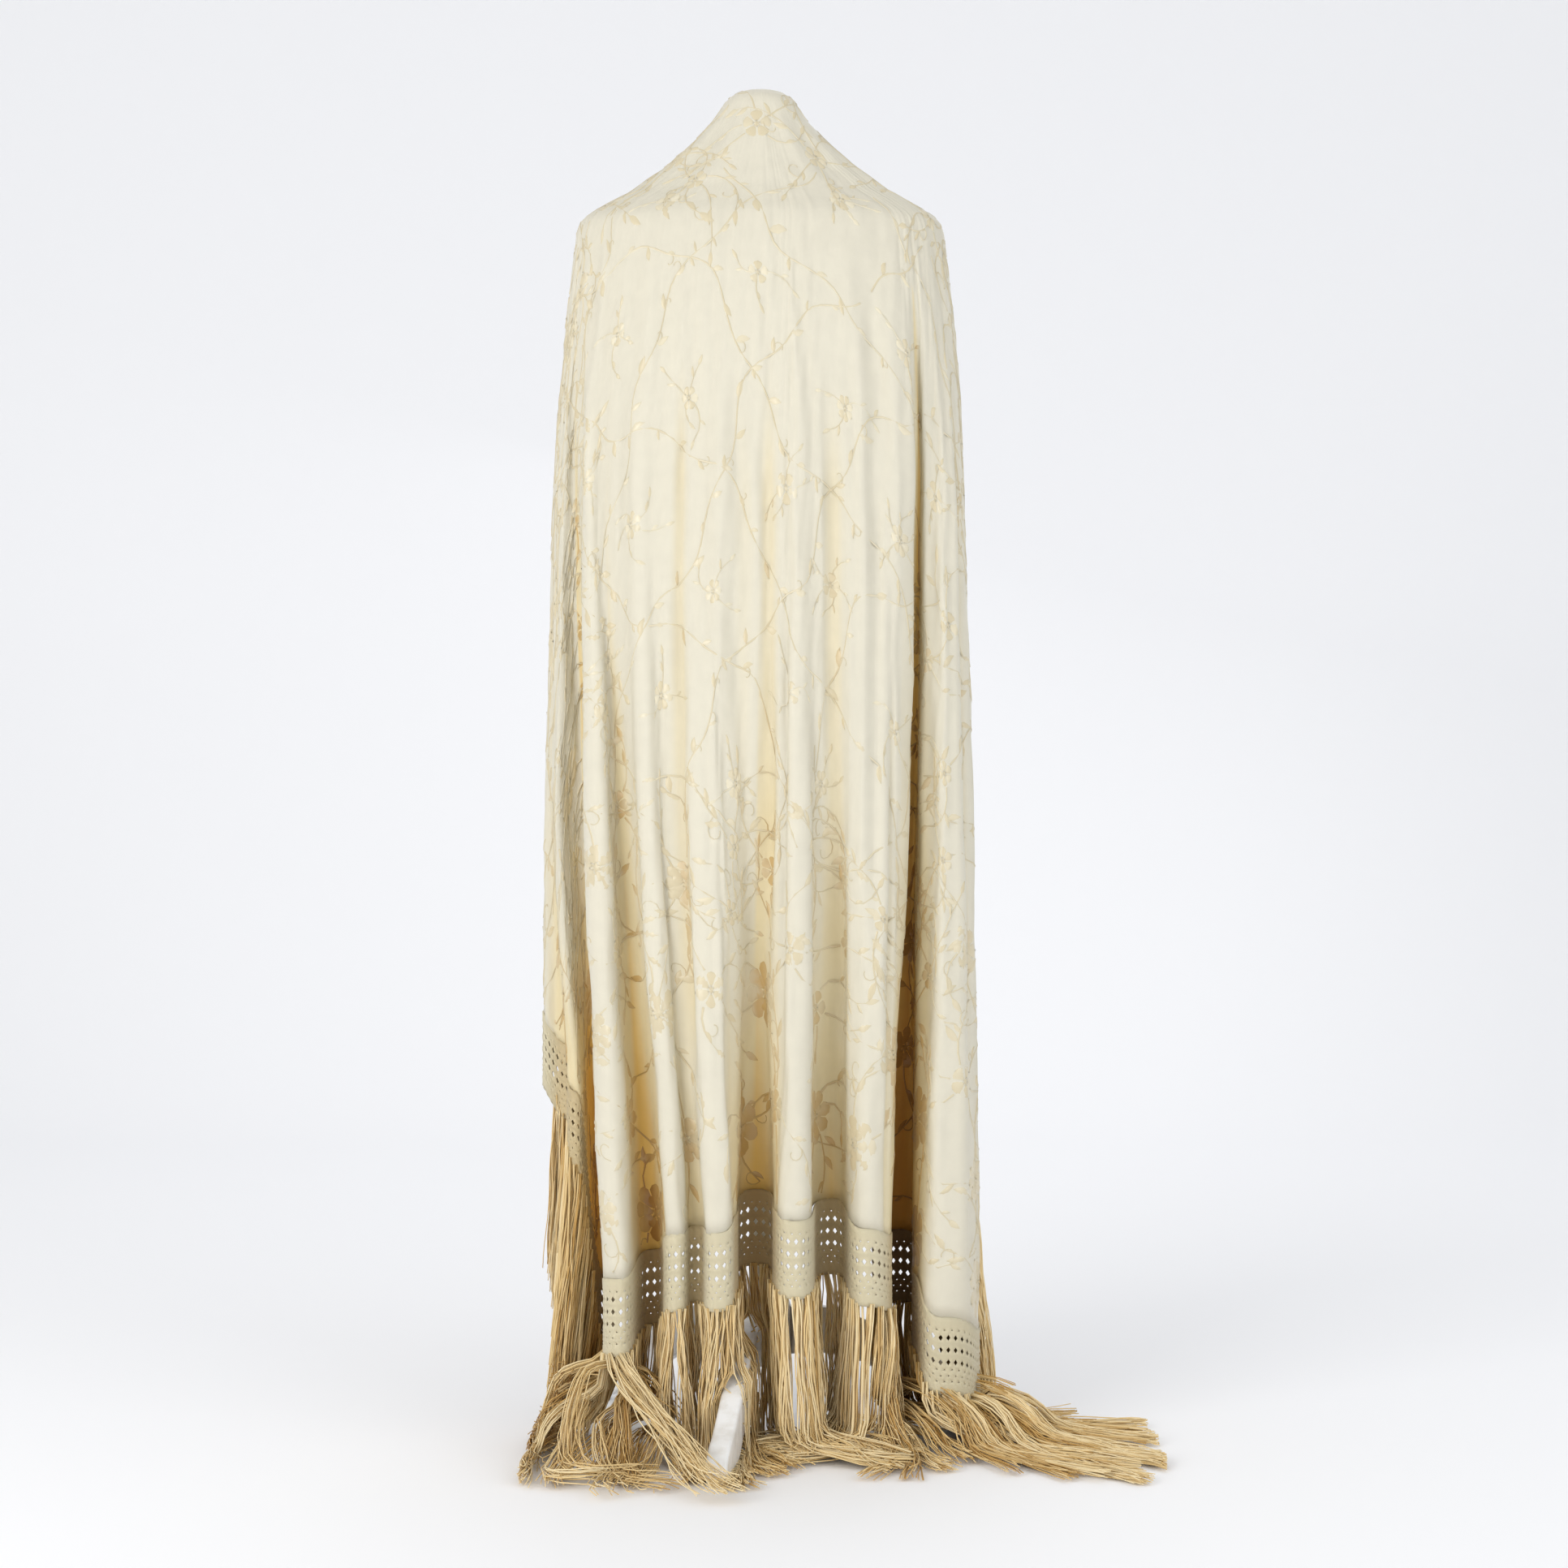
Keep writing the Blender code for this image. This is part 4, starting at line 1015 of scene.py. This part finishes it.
def lock_paths(columns, chance):
    """The middle line of each lock: down to the floor or its mound, then along it."""
    number = len(columns)
    drift_x, drift_y, lean, turning, wave, length = drift_at(columns)
    own = chance.normal(0, 1, (number, 5))
    phase = chance.uniform(0, 2 * math.pi, (number, 4))
    layer = chance.uniform(0.15, 1.0, number)
    heading = np.arctan2(drift_y, drift_x) + own[:, 0] * 0.22
    lean = lean * (1 + own[:, 1] * 0.22)
    turning = np.radians(turning) * (1 + own[:, 2] * 0.35)
    pulled = np.abs(columns - PULLED_LOCK[0]) < 0.09
    heading = np.where(pulled, PULLED_LOCK[1], heading)
    lean = np.where(pulled, PULLED_LOCK[2], lean)
    turning, wave, layer = (np.where(pulled, 0.0, value) for value in (turning, wave, layer))
    point = drape(columns, edge_heights(columns) - NET_DROP + 0.003)
    step = (STRAND_LENGTH / LOCK_STEPS * length)
    path, headings = [point.copy()], [heading.copy()]
    landed = np.zeros(number)
    for k in range(LOCK_STEPS):
        run = k * step
        ground = FLOOR + 0.001 + layer * mound_height(point[:, 0], point[:, 1])
        near = np.clip(1 - (point[:, 2] - ground) / LANDING, 0, 1)
        landed = np.maximum(landed * 0.97, near)
        curl = wave * 9.0 * np.sin(run * 42 + phase[:, 0]) + wave * 6.0 * np.sin(run * 95 + phase[:, 1])
        curl = curl + wave**2 * 9.0 * np.sin(run * 165 + phase[:, 2])
        heading = heading + (turning + curl * 2.2) * step * landed
        sway = 0.08 * np.sin(run * 30 + phase[:, 2]) + 0.07 * np.sin(run * 55 + phase[:, 3])
        aside = heading + math.pi / 2
        forward = lean * np.minimum(1.0, 0.25 + run / 0.06) + near * 1.9
        plan = direction(heading) * forward[:, None] + direction(aside) * sway[:, None]
        move = np.concatenate([plan, (near - 1.02)[:, None]], axis=1)
        move *= step[:, None] / np.linalg.norm(move, axis=1, keepdims=True)
        point = point + move
        ground = FLOOR + 0.001 + layer * mound_height(point[:, 0], point[:, 1])
        point[:, 2] = np.maximum(point[:, 2], ground)
        path.append(point.copy())
        headings.append(heading.copy())
    return np.array(path), np.array(headings)


def fringe(side, seed):
    """A side's strands as one mesh of thin three-sided threads, gathered in locks."""
    chance = np.random.default_rng(seed)
    lock_columns = even_columns(side, LOCK_PITCH, NET_DROP, LOCK_PITCH * 0.4)
    path, headings = lock_paths(lock_columns, chance)
    per, faces_along = LOCKS[side]
    number = len(lock_columns) * per
    lock = np.repeat(np.arange(len(lock_columns)), per)
    reach = 1 + chance.normal(0, 0.035, number)
    at = np.linspace(0, 1, faces_along + 1)[:, None] * np.clip(reach, 0.85, 1.0) * LOCK_STEPS
    low = np.minimum(at.astype(int), LOCK_STEPS - 1)
    share = (at - low)[..., None]
    middle = path[low, lock] * (1 - share) + path[low + 1, lock] * share
    heading = headings[low, lock]
    along = unit(np.gradient(middle, axis=0))
    beside = np.stack([-np.sin(heading), np.cos(heading), np.zeros(heading.shape)], axis=-1)
    over = np.cross(along, beside)
    run = np.linspace(0, 1, faces_along + 1)[:, None]
    turn = chance.uniform(0, 2 * math.pi, number)
    out = np.sqrt(chance.uniform(0.02, 1, number))
    fray = drift_at(lock_columns)[4][lock]
    width = (0.0050 + 0.0010 * run + 0.0030 * run**2) * (1 + 1.5 * fray * run**1.5)
    twist = turn + run * chance.normal(0, 0.9, number)
    wander = 0.0024 * np.sin(run * chance.uniform(7, 18, number) + turn * 3)
    stray = (chance.random(number) < 0.16) * chance.normal(0, 0.013, number)
    beside_by = np.cos(twist) * out * width + wander + stray * run**1.5
    over_by = np.sin(twist) * out * width * 0.8 + wander * 0.5
    lying = np.clip((0.03 - middle[..., 2]) / 0.03, 0, 1)
    over_by = over_by * (1 - lying) + np.abs(over_by) * lying
    strands = middle + beside * beside_by[..., None] + over * over_by[..., None]
    strands = inside_room(part_round_leg(strands))
    along = unit(np.gradient(strands, axis=0))
    first = unit(np.cross(along, beside))
    second = np.cross(along, first)
    thick = STRAND_RADIUS * (1 - 0.35 * run) * chance.uniform(0.85, 1.15, number)
    tube = np.stack([
        strands + (first * math.cos(angle) + second * math.sin(angle)) * thick[..., None]
        for angle in (0.0, 2 * math.pi / 3, 4 * math.pi / 3)
    ], axis=2)
    tube[..., 2] = np.maximum(tube[..., 2], 0.0002)
    steps = faces_along + 1
    index = np.arange(steps * number * 3).reshape(steps, number, 3)
    turned = np.roll(index, -1, axis=2)
    quads = np.stack([index[:-1], turned[:-1], turned[1:], index[1:]], axis=-1).reshape(-1, 4)
    ends = np.concatenate([index[0][:, ::-1], index[-1]])
    own = chance.normal(0, 1, len(lock_columns))[lock] * 0.08 + chance.normal(0, 1, number) * 0.13
    # Painted shade deep in the cloth's folds and near the middle of each lock, on top of each strand's
    # own random tone
    inner = (1 - out) * 0.30
    shade = np.clip(line_shade(lock_columns)[lock] * 0.62 + own + inner + 0.04, 0, 1)
    # Painted shade where the strands lie piled on the floor
    pile_shade = np.clip(1 - strands[..., 2] / 0.02, 0, 1) * 0.05
    shade = np.repeat((shade[None, :] + pile_shade)[..., None], 3, axis=2)
    faces = quads.tolist() + ends.tolist()
    places = tube.reshape(-1, 3).tolist()
    made = mesh_object("silk_fringe_" + side, places, faces, floss, "strand_shade", shade.ravel())
    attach(made, "root")
    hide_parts("fringe_" + side)
    return made


fringes = [fringe(side, 11 + k) for k, side in enumerate(SIDES)]

# ------------------------------------------------------------------ dress form
# A light moulded body without limbs, ending in a covered neck, under a tight cover of white jersey that
# is sewn down the middle and the sides. Only its lower front shows, through the open front of the cloth.

FORM_RINGS = np.array([
    (0.7150, 0.1280, 0.0780, 0.0800, 0.000),
    (0.7350, 0.1400, 0.0880, 0.0900, 0.000),
    (0.8000, 0.1480, 0.0940, 0.0960, 0.000),
    (0.8800, 0.1400, 0.0880, 0.0900, 0.000),
    (0.9600, 0.1250, 0.0780, 0.0890, 0.000),
    (1.0300, 0.1370, 0.0820, 0.1060, 0.000),
    (1.1000, 0.1570, 0.0900, 0.1230, 0.000),
    (1.1600, 0.1700, 0.0960, 0.1190, 0.000),
    (1.2200, 0.1850, 0.0970, 0.0980, 0.000),
    (1.2700, 0.1980, 0.0930, 0.0830, 0.000),
    (1.2950, 0.1980, 0.0840, 0.0770, 0.000),
    (1.3120, 0.1920, 0.0780, 0.0710, 0.000),
    (1.3270, 0.1560, 0.0690, 0.0620, 0.003),
    (1.3400, 0.1080, 0.0600, 0.0540, 0.005),
    (1.3560, 0.0700, 0.0520, 0.0480, 0.008),
    (1.3850, 0.0530, 0.0460, 0.0440, 0.010),
    (1.4170, 0.0480, 0.0430, 0.0420, 0.011),
    (1.4440, 0.0380, 0.0360, 0.0360, 0.012),
    (1.4540, 0.0290, 0.0280, 0.0280, 0.012),
    (1.4585, 0.0165, 0.0165, 0.0165, 0.012),
])
jersey = principled("white_jersey", (0.80, 0.785, 0.75), 0.85, Sheen_Weight=0.25)
add_threads(jersey, "object", 420.0, 0.5, 0.0005)
FORM_COLUMNS = 72
rows = rounded_table(FORM_RINGS[::-1], 64)
angles = np.arange(FORM_COLUMNS) * 360 / FORM_COLUMNS
form_points = np.zeros((len(rows), FORM_COLUMNS, 3))
for k, (z, *sizes) in enumerate(rows):
    form_points[k, :, :2] = POLE + oval(angles, *sizes)
    form_points[k, :, 2] = z
form = grid_object("form_body", form_points, True, jersey)
bm = bmesh.new()
bm.from_mesh(form.data)
bm.verts.ensure_lookup_table()
bm.faces.new([bm.verts[i] for i in range(FORM_COLUMNS)])
last = len(bm.verts) - FORM_COLUMNS
bm.faces.new([bm.verts[last + i] for i in range(FORM_COLUMNS)])
bmesh.ops.recalc_face_normals(bm, faces=bm.faces)
bm.to_mesh(form.data)
bm.free()
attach(form, "root")
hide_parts("dress_form")

# ------------------------------------------------------------------ wooden stand
# A turned pole in a round hub, with three flat legs sawn from board, their edges rounded over and all
# painted white. The feet stand flat on the floor.

painted = principled("white_paint_on_wood", (0.80, 0.80, 0.79), 0.38, Coat_Weight=0.15)
nodes, links = painted.node_tree.nodes, painted.node_tree.links
spots = nodes.new("ShaderNodeTexNoise")
spots.inputs["Scale"].default_value = 55.0
spots.inputs["Detail"].default_value = 8.0
place = nodes.new("ShaderNodeTexCoord")
links.new(place.outputs["Object"], spots.inputs["Vector"])
brushed = nodes.new("ShaderNodeBump")
brushed.inputs["Strength"].default_value = 0.35
brushed.inputs["Distance"].default_value = 0.0006
links.new(spots.outputs["Fac"], brushed.inputs["Height"])
links.new(brushed.outputs["Normal"], nodes["Principled BSDF"].inputs["Normal"])
worn = nodes.new("ShaderNodeValToRGB")
worn.color_ramp.elements[0].position, worn.color_ramp.elements[1].position = 0.30, 0.55
worn.color_ramp.elements[0].color = (0.69, 0.67, 0.63, 1.0)
worn.color_ramp.elements[1].color = (0.82, 0.82, 0.81, 1.0)
links.new(spots.outputs["Fac"], worn.inputs["Fac"])
links.new(worn.outputs["Color"], nodes["Principled BSDF"].inputs["Base Color"])

LEG_OUTLINE = [
    (0.0333, 0.130), (0.075, 0.127), (0.115, 0.113), (0.160, 0.090), (0.205, 0.064), (0.240, 0.045),
    (0.268, 0.034), (0.283, 0.021), (0.284, 0.009), (0.276, 0.000), (0.240, 0.000), (0.212, 0.008),
    (0.175, 0.030), (0.135, 0.054), (0.100, 0.070), (0.065, 0.077), (0.0333, 0.078),
]


def settle(made, name, node):
    """Puts a finished piece's place in its mesh and hands it over."""
    made.name = name
    bpy.ops.object.select_all(action="DESELECT")
    made.select_set(True)
    bpy.context.view_layer.objects.active = made
    bpy.ops.object.transform_apply(location=True, rotation=True, scale=True)
    made.data.materials.clear()
    made.data.materials.append(painted)
    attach(made, "root")
    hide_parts(node)
    return made


for name, node, radius, low, high, soft in (
    ("turned_pole", "stand_pole", 0.0125, 0.1403, 0.7147, 0.0015),
    ("round_hub", "stand_hub", 0.033, 0.070, 0.140, 0.006),
):
    bpy.ops.object.select_all(action="DESELECT")
    bpy.ops.mesh.primitive_cylinder_add(
        vertices=64, radius=radius, depth=high - low, location=(*POLE, (low + high) / 2)
    )
    made = bpy.context.object
    made.data.shade_smooth()
    rounding = made.modifiers.new("rounded rims", "BEVEL")
    rounding.width = soft
    rounding.segments = 4
    rounding.limit_method = "ANGLE"
    rounding.harden_normals = True
    settle(made, name, node)

for number in range(1, 4):
    outline = bpy.data.curves.new("leg_outline", "CURVE")
    outline.dimensions = "2D"
    outline.fill_mode = "BOTH"
    outline.extrude = LEG_HALF - 0.004
    outline.bevel_depth = 0.004
    outline.bevel_resolution = 4
    outline.offset = -0.004
    spline = outline.splines.new("BEZIER")
    spline.bezier_points.add(len(LEG_OUTLINE) - 1)
    for point, (out, up) in zip(spline.bezier_points, LEG_OUTLINE):
        point.co = (out, up, 0.0)
        point.handle_left_type = point.handle_right_type = "AUTO"
    for k in (0, 9, 10, 16):
        spline.bezier_points[k].handle_left_type = "VECTOR"
        spline.bezier_points[k].handle_right_type = "VECTOR"
    spline.use_cyclic_u = True
    spline.resolution_u = 6
    made = bpy.data.objects.new("leg", outline)
    bpy.context.scene.collection.objects.link(made)
    made.location = (*POLE, 0.0)
    made.rotation_euler = (math.pi / 2, 0.0, FIRST_LEG + (number - 1) * 2 * math.pi / 3)
    bpy.ops.object.select_all(action="DESELECT")
    made.select_set(True)
    bpy.context.view_layer.objects.active = made
    bpy.ops.object.convert(target="MESH")
    made = bpy.context.object
    bpy.ops.object.mode_set(mode="EDIT")
    bpy.ops.mesh.select_all(action="SELECT")
    bpy.ops.mesh.remove_doubles(threshold=0.00005)
    bpy.ops.mesh.normals_make_consistent(inside=False)
    bpy.ops.object.mode_set(mode="OBJECT")
    bpy.ops.object.shade_smooth_by_angle(angle=math.radians(40))
    settle(made, f"sawn_leg_{number}", f"stand_leg_{number}")

# ------------------------------------------------------------------ studio
# A pale paper floor that runs up into a backdrop in one soft curve, and large soft lamps on both sides
# and behind. The camera stands level with the middle of the shawl's back, as in the photo.

paper = principled("studio_paper", (0.93, 0.93, 0.94), 0.9)
sweep = []
for k in range(25):
    t = k / 24
    turn = t * math.pi / 2
    sweep.append((2.6 + 1.2 * math.sin(turn), 1.2 - 1.2 * math.cos(turn)))
profile = [(-6.0, 0.0), (1.0, 0.0)] + sweep + [(3.8, 6.0)]
studio_points = np.array([[(x, y, z) for x in (-7.0, 7.0)] for y, z in profile])
studio = grid_object("studio_floor", studio_points[::-1], False, paper)
studio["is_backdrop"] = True

for name, place, size, power, colour in (
    ("key_light", (-2.5, -2.9, 1.7), 2.2, 74.0, (1.0, 0.985, 0.96)),
    ("fill_light", (2.6, -2.4, 1.3), 2.4, 34.0, (0.97, 0.985, 1.0)),
    ("back_light", (0.4, 2.9, 2.6), 2.4, 16.0, (1.0, 1.0, 1.0)),
):
    light = bpy.data.lights.new(name, "AREA")
    light.size = size
    light.energy = power
    light.color = colour
    lamp = bpy.data.objects.new(name, light)
    bpy.context.scene.collection.objects.link(lamp)
    lamp.location = place
    towards = Vector((POLE[0], POLE[1], 0.75)) - Vector(place)
    lamp.rotation_euler = towards.to_track_quat("-Z", "Y").to_euler()

world = bpy.data.worlds.new("studio_air")
bpy.context.scene.world = world
world.use_nodes = True
world.node_tree.nodes["Background"].inputs["Color"].default_value = (0.93, 0.945, 0.97, 1.0)
world.node_tree.nodes["Background"].inputs["Strength"].default_value = 0.76

bpy.context.scene.view_settings.view_transform = "Standard"
lens = bpy.data.cameras.new("camera")
lens.lens = 67.2
lens.sensor_width = 36.0
camera = bpy.data.objects.new("camera", lens)
bpy.context.scene.collection.objects.link(camera)
camera.location = (POLE[0] + 0.026, POLE[1] - 3.2, 0.702)
camera.rotation_euler = (math.pi / 2, 0.0, 0.0)
bpy.context.scene.camera = camera

low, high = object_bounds()
